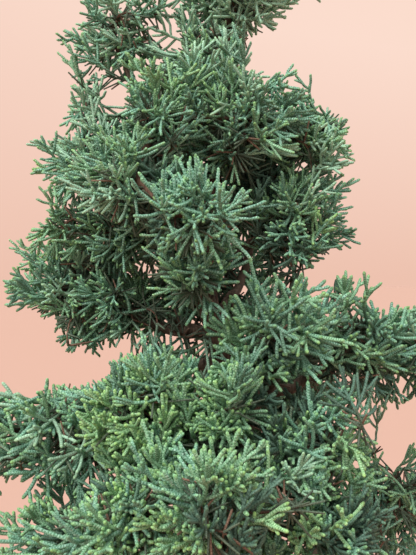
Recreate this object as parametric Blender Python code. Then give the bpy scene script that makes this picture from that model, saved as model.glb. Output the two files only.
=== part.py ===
"""Potted juniper bonsai.

A small informal-upright juniper in a plain clay pot: a leaning trunk with root
flare, tapering boughs, and the separate masses of foliage that they carry.
Metres, +Z up.  The origin is the centre of the pot's flat underside.
Sizes below are millimetres; MM turns them into metres.
"""
import math

import bmesh
import bpy
from mathutils import Matrix, Vector, noise

MM = 0.001

# ------------------------------------------------------------------ clearances
GAP = 0.3                 # left between any two pieces that touch
CUT = 0.35                # how much fatter a limb's cutter is than the limb

# ------------------------------------------------------------------------- pot
POT_LENGTH = 206.0        # over the rim, along X
POT_WIDTH = 154.0         # over the rim, along Y
POT_HEIGHT = 62.0
POT_LIP = 5.0             # how far the rim stands out from the wall
POT_LIP_HEIGHT = 10.0
POT_TAPER = 10.0          # how far each wall leans in from top to bottom
POT_WALL = 6.5
POT_FLOOR = 9.0           # measured from the underside
POT_FOOT_INSET = 7.0
POT_FOOT_HEIGHT = 6.0
POT_CORNER = 24.0         # corner radius of the walls
POT_CORNER_STEPS = 5

# ------------------------------------------------------------------------ soil
SOIL_EDGE_Z = 55.0        # level against the pot wall
SOIL_TOP_Z = 66.0         # level at the trunk
SOIL_FLAT_R = 24.0        # flat spot that the trunk stands on
SOIL_RINGS = 4

# ----------------------------------------------------------------------- trunk
TRUNK_ROUTE = [           # the trunk's centre line: foot, two gentle bends, tip
    (-14, 8, 50), (-13, 8, 74), (-3, 5, 100), (12, 2, 148), (15, 5, 192),
    (6, 10, 238), (-1, 11, 268), (4, 13, 330), (8, 19, 380), (15, 29, 433),
]
TRUNK_FOOT_R = 9.8
TRUNK_TIP_R = 0.8
TRUNK_STEPS = 24
TRUNK_SIDES_RES = 3       # 10-sided
FLARE_HEIGHT = 22.0       # the roots spread out below this height over the soil
FLARE_SPREAD = 0.75       # foot radius grows by this share at the soil
FLARE_ROOTS = 5           # ridges round the flare
FLARE_RIDGE = 0.22

# ---------------------------------------------------------------------- boughs
# name: (height on the trunk, where it passes, where it ends, foot r, end r)
BOUGHS = {
    "bough_top_left": (303, (-20, 16, 327), (-43, 23, 378), 2.2, 1.2),
    "bough_upper_right": (322, (22, 10, 330), (42, 9, 336), 1.9, 1.1),
    "bough_upper_left": (274, (-20, 8, 292), (-44, 8, 313), 2.5, 1.4),
    "bough_middle_right": (272, (17, 22, 284), (33, 17, 297), 1.9, 1.2),
    "bough_middle_front": (256, (0, -18, 274), (-6, -44, 288), 2.2, 1.3),
    "bough_middle_back_left": (254, (-12, 30, 276), (-29, 47, 310), 2.5, 1.4),
    "bough_middle_back_right": (246, (16, 30, 268), (28, 50, 307), 2.5, 1.4),
    "bough_back": (236, (5, 34, 246), (4, 52, 256), 2.4, 1.5),
    "bough_middle_left": (240, (-18, 14, 246), (-50, 16, 260), 2.9, 1.6),
    "bough_low_left": (228, (-14, 10, 226), (-52, -10, 214), 3.0, 1.8),
    "bough_low_right": (206, (40, 4, 222), (58, 1, 236), 3.2, 1.9),
    "bough_front_right": (213, (25, -18, 222), (28, -36, 238), 2.7, 1.5),
    "bough_front_left": (198, (-3, -22, 206), (-22, -44, 214), 2.8, 1.6),
    "bough_front": (176, (10, -34, 184), (2, -76, 197), 3.2, 1.8),
    "bough_low_back_right": (170, (30, 34, 186), (38, 46, 202), 3.2, 1.8),
    "bough_low_back_left": (162, (-14, 28, 170), (-33, 41, 186), 3.2, 1.8),
    "bough_bottom_left": (146, (-20, -18, 150), (-46, -38, 166), 3.4, 2.0),
    "bough_bottom_right": (134, (44, 18, 136), (80, 34, 152), 3.4, 2.0),
}
BOUGH_STEPS = 5
BOUGH_SIDES_RES = 1       # 6-sided
BOUGH_SAG = 0.10          # a bough leaves the trunk rising, then eases over

# -------------------------------------------------------------- foliage masses
# name: (centre, half sizes, furthest tips)
MASSES = {
    "foliage_apex": ((15, 30, 411), (35, 31, 29),
                     ((52, 30, 405), (45, 30, 396), (12, 30, 441))),
    "foliage_upper_neck": ((-7, 21, 379), (17, 18, 19), ()),
    "foliage_top_left": ((-47, 25, 391), (25, 22, 24),
                         ((-74, 25, 389), (-73, 25, 382))),
    "foliage_left_sprays": ((-60, 20, 355), (15, 16, 21), ((-71, 22, 367),)),
    "foliage_left_outer": ((-58, 8, 322), (24, 24, 20),
                           ((-83, 5, 326), (-76, 5, 335), (-68, 5, 303))),
    "foliage_left_front": ((-38, -30, 308), (20, 20, 18), ((-16, -38, 319),)),
    "foliage_lower_left": ((-67, 15, 266), (29, 28, 24),
                           ((-97, 15, 272), (-94, 15, 282), (-89, 15, 252),
                            (-70, 15, 233), (-82, 15, 292))),
    "foliage_left_inner": ((-47, 14, 292), (24, 22, 16), ()),
    "foliage_under_left": ((-36, 24, 255), (23, 22, 19), ()),
    "foliage_upper_middle_left": ((-22, -12, 340), (21, 22, 23), ()),
    "foliage_upper_middle_right": ((17, -6, 339), (33, 28, 25),
                                   ((41, -5, 355), (30, -5, 359))),
    "foliage_right_shoulder": ((53, 10, 340), (16, 22, 17),
                               ((65, 10, 344), (69, 10, 334), (49, -5, 354))),
    "foliage_right_middle": ((41, 4, 295), (27, 26, 26),
                             ((65, 5, 313), (67, 5, 295), (68, 5, 283),
                              (49, 5, 271))),
    "foliage_middle_core": ((-20, -2, 299), (22, 19, 23), ()),
    "foliage_front_star": ((-6, -48, 292), (19, 17, 17), ()),
    "foliage_front_drop": ((-9, -39, 270), (12, 13, 13), ()),
    "foliage_back_upper_left": ((-32, 51, 328), (33, 31, 40), ()),
    "foliage_back_upper_right": ((30, 53, 326), (34, 30, 40), ()),
    "foliage_right_star": ((28, -38, 245), (23, 22, 22),
                           ((8, -38, 266), (43, -38, 268), (-3, -38, 245),
                            (48, -38, 243))),
    "foliage_right_outer": ((69, 0, 243), (25, 28, 29),
                            ((63, 0, 275), (74, 0, 268), (52, 0, 274))),
    "foliage_right_far": ((98, 6, 238), (21, 22, 19), ((90, 0, 259),)),
    "foliage_low_left": ((-66, -22, 209), (26, 27, 20),
                         ((-68, -20, 228), (-51, -20, 228))),
    "foliage_low_left_far": ((-96, -16, 208), (19, 22, 18),
                             ((-82, -20, 226),)),
    "foliage_low_middle_left": ((-27, -48, 217), (23, 24, 25),
                                ((-28, -45, 241), (-37, -45, 235))),
    "foliage_low_middle": ((6, -47, 221), (18, 18, 17), ()),
    "foliage_near_front": ((-1, -88, 200), (29, 22, 18), ()),
    "foliage_low_middle_right": ((40, -45, 209), (24, 24, 20),
                                 ((57, -40, 227), (65, -40, 211))),
    "foliage_bottom_front_right": ((48, -60, 180), (24, 22, 18), ()),
    "foliage_bottom_front": ((8, -50, 174), (27, 24, 18), ()),
    "foliage_bottom_front_left": ((-31, -74, 184), (20, 20, 17), ()),
    "foliage_bottom_left": ((-58, -42, 171), (25, 24, 17), ()),
    "foliage_bottom_right": ((98, 42, 163), (28, 28, 27),
                             ((97, 45, 194), (88, 45, 191))),
    "foliage_back_top": ((-3, 47, 371), (22, 22, 22), ()),
    "foliage_back_left": ((-60, 50, 264), (24, 25, 26), ()),
    "foliage_back_low_left": ((-44, 50, 197), (35, 31, 25), ()),
    "foliage_back_low_right": ((43, 56, 219), (33, 31, 31), ()),
    "foliage_back_bottom": ((-6, 57, 183), (37, 28, 22), ()),
    "foliage_back_middle": ((7, 60, 266), (39, 27, 29), ()),
}
MASS_SEGMENTS = 11
MASS_RINGS = 8
MASS_LUMPS = 0.13         # unevenness, as a share of the half sizes
MASS_LUMP_SIZE = 17.0     # spacing of the lumps
MASS_FLAT_BELOW = 0.86    # the undersides are flatter than the tops
TIP_WIDTH = 0.42          # radians: how broad a reach towards a tip is

# --------------------------------------------------------------------- colours
CLAY = (0.165, 0.092, 0.058)
SOIL = (0.060, 0.043, 0.031)
BARK = (0.150, 0.088, 0.056)
BOUGH_BARK = (0.140, 0.094, 0.064)
GREEN = (0.066, 0.130, 0.070)
GREEN_LIGHT = (0.130, 0.215, 0.100)


# ----------------------------------------------------------------- scene set-up
for old in list(bpy.data.objects):
    bpy.data.objects.remove(old, do_unlink=True)


def collection(name):
    coll = bpy.data.collections.new(name)
    bpy.context.scene.collection.children.link(coll)
    return coll


PARTS = collection("potted_juniper_bonsai")
CUTTERS = collection("cutters")


def material(name, colour, roughness):
    mat = bpy.data.materials.new(name)
    mat.use_nodes = True
    shader = mat.node_tree.nodes["Principled BSDF"]
    shader.inputs["Base Color"].default_value = (*colour, 1.0)
    shader.inputs["Roughness"].default_value = roughness
    shader.inputs["Metallic"].default_value = 0.0
    mat.diffuse_color = (*colour, 1.0)
    return mat


def mesh_object(name, bm, coll, mat=None):
    """Link a bmesh (millimetres) as an object in metres."""
    bmesh.ops.scale(bm, vec=(MM, MM, MM), verts=bm.verts)
    bmesh.ops.recalc_face_normals(bm, faces=bm.faces)
    mesh = bpy.data.meshes.new(name)
    bm.to_mesh(mesh)
    bm.free()
    obj = bpy.data.objects.new(name, mesh)
    coll.objects.link(obj)
    if mat is not None:
        mesh.materials.append(mat)
    if coll is CUTTERS:
        obj.hide_render = True
        obj.display_type = "WIRE"
    return obj


def boolean(obj, other, operation):
    """Apply one exact Boolean to obj, with its loose slivers dropped."""
    mod = obj.modifiers.new(operation.lower(), "BOOLEAN")
    mod.operation = operation
    mod.solver = "EXACT"
    mod.object = other
    graph = bpy.context.evaluated_depsgraph_get()
    graph.update()
    new = bpy.data.meshes.new_from_object(obj.evaluated_get(graph))
    obj.modifiers.clear()
    old = obj.data
    obj.data = new
    new.name = obj.name
    bpy.data.meshes.remove(old)
    keep_largest(obj)


def keep_largest(obj):
    """Drop every loose scrap but the largest body."""
    bm = bmesh.new()
    bm.from_mesh(obj.data)
    bmesh.ops.remove_doubles(bm, verts=bm.verts, dist=0.00002)
    bmesh.ops.dissolve_degenerate(bm, edges=bm.edges, dist=0.00002)
    bodies, left = [], set(bm.verts)
    while left:
        seed = min(left, key=lambda v: v.index)
        stack, body = [seed], {seed}
        while stack:
            vert = stack.pop()
            for edge in vert.link_edges:
                other = edge.other_vert(vert)
                if other not in body:
                    body.add(other)
                    stack.append(other)
        left -= body
        bodies.append(body)
    bodies.sort(key=lambda b: (-len(b), min(v.index for v in b)))
    scraps = [v for body in bodies[1:] for v in body]
    if scraps:
        bmesh.ops.delete(bm, geom=scraps, context="VERTS")
    bm.to_mesh(obj.data)
    bm.free()


# ------------------------------------------------------------------ pot and soil
def tapered_box(base, top, z0, z1, corner):
    """A bmesh box with rounded upright corners, its base unlike its top."""
    bm = bmesh.new()
    bmesh.ops.create_cube(bm, size=1.0)
    for vert in bm.verts:
        size, level = (top, z1) if vert.co.z > 0 else (base, z0)
        vert.co = Vector((math.copysign(size[0] / 2, vert.co.x),
                          math.copysign(size[1] / 2, vert.co.y), level))
    upright = [e for e in bm.edges
               if abs(e.verts[0].co.z - e.verts[1].co.z) > 0.5 * (z1 - z0)]
    bmesh.ops.bevel(bm, geom=upright, offset=corner, segments=POT_CORNER_STEPS,
                    profile=0.5, affect="EDGES", offset_type="OFFSET")
    return bm


def wall_size(z, inside=0.0):
    """Length and width over the pot's wall at level z, less what is inside."""
    lean = POT_TAPER * (1.0 - z / POT_HEIGHT)
    return (POT_LENGTH - 2 * (POT_LIP + lean + inside),
            POT_WIDTH - 2 * (POT_LIP + lean + inside))


def make_pot(mat):
    pot = mesh_object("pot", tapered_box(
        wall_size(POT_FOOT_HEIGHT), wall_size(POT_HEIGHT),
        POT_FOOT_HEIGHT, POT_HEIGHT, POT_CORNER), PARTS, mat)
    foot = mesh_object("foot_shape", tapered_box(
        wall_size(0, POT_FOOT_INSET), wall_size(0, POT_FOOT_INSET - 1.5),
        0.0, POT_FOOT_HEIGHT + 2.0, POT_CORNER - 5), CUTTERS)
    rim_size = (POT_LENGTH, POT_WIDTH)
    rim = mesh_object("rim_shape", tapered_box(
        tuple(s - 1.5 for s in rim_size), rim_size,
        POT_HEIGHT - POT_LIP_HEIGHT, POT_HEIGHT, POT_CORNER + 4), CUTTERS)
    hollow = mesh_object("hollow_shape", tapered_box(
        wall_size(POT_FLOOR, POT_WALL),
        wall_size(POT_HEIGHT + 6.0, POT_WALL),
        POT_FLOOR, POT_HEIGHT + 6.0, POT_CORNER - POT_WALL), CUTTERS)
    boolean(pot, foot, "UNION")
    boolean(pot, rim, "UNION")
    boolean(pot, hollow, "DIFFERENCE")
    return pot


def make_soil(mat):
    inside = POT_WALL + GAP + 0.1
    bm = tapered_box(wall_size(POT_FLOOR + GAP, inside),
                     wall_size(SOIL_EDGE_Z, inside),
                     POT_FLOOR + GAP, SOIL_EDGE_Z, POT_CORNER - inside)
    foot = Vector((*trunk_at(SOIL_TOP_Z)[0].xy, 0.0))
    top = max(bm.faces, key=lambda f: f.calc_center_median().z)
    edge = {i: v.co.copy() for i, v in enumerate(top.verts)}
    for ring in range(1, SOIL_RINGS + 1):
        top = bmesh.ops.extrude_discrete_faces(bm, faces=[top])["faces"][0]
        share = ring / SOIL_RINGS
        rise = SOIL_EDGE_Z + (SOIL_TOP_Z - SOIL_EDGE_Z) * (
            1 - (1 - share) ** 1.7)
        for i, vert in enumerate(top.verts):
            away = (edge[i] - foot).xy
            spot = foot.xy + away.normalized() * SOIL_FLAT_R
            flat = edge[i].xy.lerp(spot, share)
            vert.co = Vector((flat.x, flat.y, rise))
    return mesh_object("soil", bm, PARTS, mat)


# ------------------------------------------------------------------------ limbs
def smooth_route(points, steps):
    """A smooth line through the points, as evenly spaced stations."""
    pts = [Vector(p) for p in points]
    pts = [2 * pts[0] - pts[1]] + pts + [2 * pts[-1] - pts[-2]]
    fine = []
    for k in range(1, len(pts) - 2):
        a, b, c, d = pts[k - 1:k + 3]
        for i in range(24):
            t = i / 24
            fine.append(0.5 * ((2 * b) + (c - a) * t
                               + (2 * a - 5 * b + 4 * c - d) * t * t
                               + (3 * b - a - 3 * c + d) * t ** 3))
    fine.append(pts[-2])
    run = [0.0]
    for a, b in zip(fine, fine[1:]):
        run.append(run[-1] + (b - a).length)
    out, k = [], 0
    for i in range(steps + 1):
        want = run[-1] * i / steps
        while k < len(run) - 2 and run[k + 1] < want:
            k += 1
        span = run[k + 1] - run[k]
        out.append(fine[k].lerp(fine[k + 1], (want - run[k]) / span))
    return out


TRUNK_LINE = smooth_route(TRUNK_ROUTE, 160)


def trunk_radius(share):
    return TRUNK_TIP_R + (TRUNK_FOOT_R - TRUNK_TIP_R) * (1 - share)


def trunk_at(height):
    """Centre and radius of the trunk at a height."""
    for i, (a, b) in enumerate(zip(TRUNK_LINE, TRUNK_LINE[1:])):
        if a.z <= height <= b.z:
            t = (height - a.z) / (b.z - a.z)
            return a.lerp(b, t), trunk_radius((i + t) / (len(TRUNK_LINE) - 1))
    raise ValueError("height is off the trunk")


def limb(name, stations, radii, sides_res, coll, mat=None):
    """A tapering tube through the stations, with welded round-section ends."""
    curve = bpy.data.curves.new(name, "CURVE")
    curve.dimensions = "3D"
    curve.twist_mode = "MINIMUM"
    curve.bevel_depth = MM
    curve.bevel_resolution = sides_res
    curve.use_fill_caps = True
    spline = curve.splines.new("POLY")
    spline.points.add(len(stations) - 1)
    for point, at, radius in zip(spline.points, stations, radii):
        point.co = (at.x * MM, at.y * MM, at.z * MM, 1.0)
        point.radius = radius
    tube = bpy.data.objects.new(name + "_curve", curve)
    coll.objects.link(tube)
    graph = bpy.context.evaluated_depsgraph_get()
    graph.update()
    mesh = bpy.data.meshes.new_from_object(tube.evaluated_get(graph))
    bpy.data.objects.remove(tube, do_unlink=True)
    bpy.data.curves.remove(curve)
    bm = bmesh.new()
    bm.from_mesh(mesh)
    bpy.data.meshes.remove(mesh)
    bmesh.ops.remove_doubles(bm, verts=bm.verts, dist=0.00005)
    bmesh.ops.scale(bm, vec=(1 / MM,) * 3, verts=bm.verts)
    return bm


def finish_limb(name, bm, coll, mat):
    obj = mesh_object(name, bm, coll, mat)
    if coll is PARTS:
        obj.data.shade_smooth()
        obj.data.set_sharp_from_angle(angle=math.radians(50))
    return obj


def make_trunk(name, extra, coll, mat=None):
    """The trunk, cut flat at the soil; extra makes it a fatter cutter."""
    stations = smooth_route(TRUNK_ROUTE, TRUNK_STEPS)
    radii = [trunk_radius(i / TRUNK_STEPS) + extra
             for i in range(TRUNK_STEPS + 1)]
    if extra:
        stations[-1] = stations[-1] + (stations[-1]
                                       - stations[-2]).normalized() * 2 * extra
    bm = limb(name, stations, radii, TRUNK_SIDES_RES, coll)
    for vert in bm.verts:
        centre, _ = trunk_at(min(max(vert.co.z, TRUNK_LINE[0].z),
                                 TRUNK_LINE[-1].z))
        low = 1 - (vert.co.z - SOIL_TOP_Z) / FLARE_HEIGHT
        if low <= 0:
            continue
        low = min(low, 1.0)
        away = (vert.co - centre).xy
        turn = math.atan2(away.y, away.x)
        grow = 1 + FLARE_SPREAD * low ** 2.2 * (
            1 + FLARE_RIDGE / FLARE_SPREAD * 2
            * math.cos(FLARE_ROOTS * turn + 0.7)
            + 0.18 * math.cos(2 * turn - 0.9))
        vert.co.x = centre.x + away.x * grow
        vert.co.y = centre.y + away.y * grow
    level = SOIL_TOP_Z + (GAP if not extra else 0.0)
    cut = bmesh.ops.bisect_plane(
        bm, geom=bm.verts[:] + bm.edges[:] + bm.faces[:],
        plane_co=(0, 0, level), plane_no=(0, 0, 1), clear_inner=True)
    rim = [e for e in cut["geom_cut"] if isinstance(e, bmesh.types.BMEdge)]
    bmesh.ops.edgeloop_fill(bm, edges=rim)
    return finish_limb(name, bm, coll, mat)


def bough_route(spec):
    height, past, end, _, _ = spec
    start, _ = trunk_at(height)
    past, end = Vector(past), Vector(end)
    lift = (end - start).length * BOUGH_SAG
    return smooth_route([start, start.lerp(past, 0.5)
                         + Vector((0, 0, lift * 0.5)), past, end], BOUGH_STEPS)


def make_bough(name, spec, extra, coll, mat=None):
    stations = bough_route(spec)
    _, _, _, foot_r, end_r = spec
    radii = [foot_r + (end_r - foot_r) * (i / BOUGH_STEPS) ** 0.8 + extra
             for i in range(BOUGH_STEPS + 1)]
    radii[0] *= 1.35                      # collar where it leaves the trunk
    if extra:
        stations[-1] = stations[-1] + (stations[-1]
                                       - stations[-2]).normalized() * extra
    return finish_limb(name, limb(name, stations, radii, BOUGH_SIDES_RES,
                                  coll), coll, mat)


# --------------------------------------------------------------- foliage masses
def half_size(half, direction):
    """Distance from the centre to the plain egg's surface in a direction."""
    down = MASS_FLAT_BELOW if direction.z < 0 else 1.0
    return 1.0 / math.sqrt((direction.x / half[0]) ** 2
                           + (direction.y / half[1]) ** 2
                           + (direction.z / (half[2] * down)) ** 2)


def shared_planes(name):
    """Planes that part this mass from each neighbour, as (normal, distance)."""
    centre, half, _ = MASSES[name]
    planes = []
    for other, (far_centre, far_half, _) in MASSES.items():
        if other == name:
            continue
        step = Vector(far_centre) - Vector(centre)
        span = step.length
        normal = step / span
        mine = half_size(half, normal)
        theirs = half_size(far_half, -normal)
        if span > 1.6 * (mine + theirs) + 20:
            continue
        if mine + theirs > span:
            at = (span ** 2 + mine ** 2 - theirs ** 2) / (2 * span)
        else:
            at = mine + (span - mine - theirs) / 2
        at = min(max(at, 0.15 * span), 0.85 * span)
        planes.append((normal, at - GAP * 0.6))
    return planes


def make_mass(index, name, mat):
    centre, half, tips = MASSES[name]
    centre = Vector(centre)
    planes = shared_planes(name)
    shift = Vector((31.7 * index, -17.3 * index, 11.9 * index))
    bm = bmesh.new()
    bmesh.ops.create_uvsphere(bm, u_segments=MASS_SEGMENTS,
                              v_segments=MASS_RINGS, radius=1.0,
                              matrix=Matrix.Rotation(0.37 * index, 3, "Z")
                              .to_4x4())
    ways = {vert: vert.co.normalized() for vert in bm.verts}
    reach = {}
    for tip in tips:
        away = Vector(tip) - centre
        nearest = max(ways, key=lambda v: ways[v].dot(away.normalized()))
        ways[nearest] = away.normalized()
        reach[nearest] = away.length
    for vert, way in ways.items():
        plain = half_size(half, way)
        lumps = noise.noise((centre + way * plain + shift) / MASS_LUMP_SIZE)
        radius = plain * (1.0 - 0.35 * MASS_LUMPS + MASS_LUMPS * 2.0 * lumps)
        for tip in tips:
            away = Vector(tip) - centre
            turn = way.angle(away.normalized(), 0.0)
            pull = math.exp(-(turn / TIP_WIDTH) ** 2)
            if away.length > radius:
                radius += (away.length - radius) * pull
        if vert in reach:
            radius = reach[vert]
        for normal, at in planes:
            toward = way.dot(normal)
            if toward > 1e-4:
                radius = min(radius, at / toward)
        vert.co = centre + way * radius
    mass = mesh_object(name, bm, PARTS, mat)
    return mass


def near(a, b, margin=0.002):
    """True where the boxes of two objects come close."""
    def box(obj):
        spots = [obj.matrix_world @ v.co for v in obj.data.vertices]
        return ([min(s[k] for s in spots) for k in range(3)],
                [max(s[k] for s in spots) for k in range(3)])
    (alo, ahi), (blo, bhi) = box(a), box(b)
    return all(alo[k] - margin < bhi[k] and blo[k] - margin < ahi[k]
               for k in range(3))


# --------------------------------------------------------------------- assembly
def build():
    clay = material("clay", CLAY, 0.75)
    earth = material("soil", SOIL, 0.95)
    make_pot(clay)
    make_soil(earth)

    trunk = make_trunk("trunk", 0.0, PARTS, material("bark_trunk", BARK, 0.85))
    trunk_cutter = make_trunk("trunk_clearance", CUT, CUTTERS)
    cutters = [trunk_cutter]
    for name, spec in BOUGHS.items():
        bough = make_bough(name, spec, 0.0, PARTS,
                           material("bark_" + name, BOUGH_BARK, 0.85))
        boolean(bough, trunk_cutter, "DIFFERENCE")
        cutters.append(make_bough(name + "_clearance", spec, CUT, CUTTERS))

    for index, name in enumerate(MASSES):
        share = (index * 0.37) % 1.0
        colour = [a + (b - a) * share for a, b in zip(GREEN, GREEN_LIGHT)]
        mass = make_mass(index, name, material("green_" + name, colour, 0.7))
        for cutter in cutters:
            if near(mass, cutter):
                boolean(mass, cutter, "DIFFERENCE")
        mass.data.shade_flat()
    return trunk


build()
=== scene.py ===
"""Looks of the potted juniper bonsai: bark, twigs, scale-leaf sprays, clay pot and soil.

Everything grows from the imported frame: limbs follow the CAD limbs, and every
foliage mass is replaced by sprays that a seeded branching rule grows into it.
Lengths below are millimetres unless a name ends in _M; MM turns them to metres.
"""
import math

import bpy
import bmesh
import numpy as np
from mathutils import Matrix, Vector, noise
from mathutils.bvhtree import BVHTree


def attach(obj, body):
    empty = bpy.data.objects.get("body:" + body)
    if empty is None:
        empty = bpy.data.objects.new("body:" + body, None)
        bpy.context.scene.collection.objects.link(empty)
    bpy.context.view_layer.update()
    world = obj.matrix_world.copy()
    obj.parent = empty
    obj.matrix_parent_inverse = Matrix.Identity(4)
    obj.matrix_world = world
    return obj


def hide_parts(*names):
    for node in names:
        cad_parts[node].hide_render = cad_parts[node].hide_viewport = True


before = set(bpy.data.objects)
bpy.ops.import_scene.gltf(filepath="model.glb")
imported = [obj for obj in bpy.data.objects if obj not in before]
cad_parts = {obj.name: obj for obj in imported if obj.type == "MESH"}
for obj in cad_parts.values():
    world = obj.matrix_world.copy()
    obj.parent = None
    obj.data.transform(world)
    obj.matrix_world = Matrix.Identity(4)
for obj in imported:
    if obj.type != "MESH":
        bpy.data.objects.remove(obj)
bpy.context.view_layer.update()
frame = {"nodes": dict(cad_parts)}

MM = 0.001
UP = np.array([0.0, 0.0, 1.0])
scene = bpy.context.scene
BODY = "root"

# ------------------------------------------------------------------ the limbs
TRUNK_ROUTE = [
    (-14, 8, 50), (-13, 8, 74), (-3, 5, 100), (12, 2, 148), (15, 5, 192),
    (6, 10, 238), (-1, 11, 268), (4, 13, 330), (8, 19, 380), (15, 29, 433),
]
TRUNK_FOOT_R = 9.8
TRUNK_TIP_R = 0.8
SOIL_TOP_Z = 66.0
FLARE_HEIGHT = 22.0
FLARE_SPREAD = 0.75
FLARE_ROOTS = 5
FLARE_RIDGE = 0.22
BOUGHS = {
    "bough_top_left": (303, (-20, 16, 327), (-43, 23, 378), 2.2, 1.2),
    "bough_upper_right": (322, (22, 10, 330), (42, 9, 336), 1.9, 1.1),
    "bough_upper_left": (274, (-20, 8, 292), (-44, 8, 313), 2.5, 1.4),
    "bough_middle_right": (272, (17, 22, 284), (33, 17, 297), 1.9, 1.2),
    "bough_middle_front": (256, (0, -18, 274), (-6, -44, 288), 2.2, 1.3),
    "bough_middle_back_left": (254, (-12, 30, 276), (-29, 47, 310), 2.5, 1.4),
    "bough_middle_back_right": (246, (16, 30, 268), (28, 50, 307), 2.5, 1.4),
    "bough_back": (236, (5, 34, 246), (4, 52, 256), 2.4, 1.5),
    "bough_middle_left": (240, (-18, 14, 246), (-50, 16, 260), 2.9, 1.6),
    "bough_low_left": (228, (-14, 10, 226), (-52, -10, 214), 3.0, 1.8),
    "bough_low_right": (206, (40, 4, 222), (58, 1, 236), 3.2, 1.9),
    "bough_front_right": (213, (25, -18, 222), (28, -36, 238), 2.7, 1.5),
    "bough_front_left": (198, (-3, -22, 206), (-22, -44, 214), 2.8, 1.6),
    "bough_front": (176, (10, -34, 184), (2, -76, 197), 3.2, 1.8),
    "bough_low_back_right": (170, (30, 34, 186), (38, 46, 202), 3.2, 1.8),
    "bough_low_back_left": (162, (-14, 28, 170), (-33, 41, 186), 3.2, 1.8),
    "bough_bottom_left": (146, (-20, -18, 150), (-46, -38, 166), 3.4, 2.0),
    "bough_bottom_right": (134, (44, 18, 136), (80, 34, 152), 3.4, 2.0),
}
BOUGH_SAG = 0.10

# -------------------------------------------------------------- the sprays
SPRAY_SPACING = 12.6      # between neighbouring spray tips over a mass
SPRAY_LENGTH = (18.0, 29.0)
SIDE_LENGTH = 14.5
SHOOT_R = 0.74            # a side shoot's radius
RING_PITCH = {"fine": 3.0, "coarse": 2.2}   # between two rings of corners
LEAF_PITCH = 0.54         # along a shoot, between two pairs of scale leaves
SHOOT_SPAN = 36.0         # a shoot's tip lies at the top of its colour tile
TILES = 16
PIECE_TRIS = 190000
KINDS = ("blue", "mid", "deep", "light", "pale")

# The view from the front, in picture points: where the plant lets sky through.
# Each is a centre and half sizes; a shoot that would end inside isn't grown.
EYE = (0.0, -300.0, 270.0)
EYE_SCALE = 675.0
SKY = [
    (50, 8, 30, 22), (40, 90, 28, 50), (13, 150, 15, 22), (12, 206, 34, 30),      # left edge
    (14, 352, 50, 40), (74, 368, 38, 15), (14, 492, 10, 12),
    (60, 496, 12, 9), (32, 470, 10, 6), (3, 448, 10, 4), (4, 537, 7, 8),
    (285, 46, 36, 16), (275, 62, 28, 10), (335, 95, 24, 18),   # right edge
    (314, 78, 12, 8), (354, 104, 22, 14), (366, 132, 16, 26), (352, 262, 26, 10),
    (322, 269, 9, 10), (316, 284, 7, 12), (374, 214, 18, 40), (402, 282, 20, 23), (378, 262, 14, 10),
    (394, 428, 30, 18), (398, 456, 16, 12), (352, 462, 7, 6),
    (117, 98, 6, 16), (104, 106, 8, 6), (170, 38, 9, 18),      # inner gaps
    (100, 5, 6, 6), (121, 2, 5, 6), (141, 9, 5, 8), (152, 26, 4, 8),
    (302, 164, 8, 7), (112, 352, 14, 8), (124, 345, 8, 6),
    (151, 334, 5, 5),
    (169, 345, 8, 9), (187, 348, 8, 9), (205, 349, 8, 8), (223, 353, 10, 8),
    (196, 324, 6, 5), (221, 372, 6, 6), (240, 358, 5, 4),
    (248, 252, 6, 8), (238, 264, 5, 7),
    (251, 268, 5, 5), (239, 289, 5, 5), (250, 290, 6, 6), (243, 301, 6, 6),
]

# Where the crown is thin enough to see daylight between its shoots
LACE = [
    (88, 110, 36, 62), (66, 165, 34, 26), (84, 215, 24, 34), (36, 260, 34, 26),
    (118, 20, 46, 34), (232, 20, 50, 36), (330, 150, 24, 30),
    (336, 220, 20, 40), (90, 322, 50, 16), (376, 300, 46, 16),
    (24, 420, 36, 18), (398, 480, 26, 20), (330, 425, 24, 20),
]

# The dark hollows between sprays, likewise, with how far back each reaches; sprays that end there
# are set back, for real depth, and coloured with the darker 'shaded' greens, which is painted shade
HOLLOWS = [
    (150, 165, 13, 20, 30), (146, 212, 9, 28, 20), (150, 262, 11, 18, 10),
    (256, 168, 30, 26, 40), (250, 228, 12, 16, 20), (262, 268, 13, 18, 20),
    (286, 272, 16, 12, 20), (284, 396, 36, 16, 10), (258, 416, 12, 26, 5),
    (316, 360, 22, 9, 10), (340, 378, 30, 9, 15), (384, 388, 26, 9, 20),
    (190, 515, 20, 13, -60), (232, 528, 26, 14, -60), (284, 492, 17, 11, -40),
    (100, 478, 10, 13, -30), (52, 535, 16, 16, -10), (132, 458, 9, 10, -60),
    (385, 524, 34, 34, 20), (350, 500, 12, 14, 0), (128, 312, 26, 10, -10),
    (186, 300, 14, 8, 0), (318, 430, 12, 9, 0), (258, 350, 10, 12, 0),
]

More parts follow.
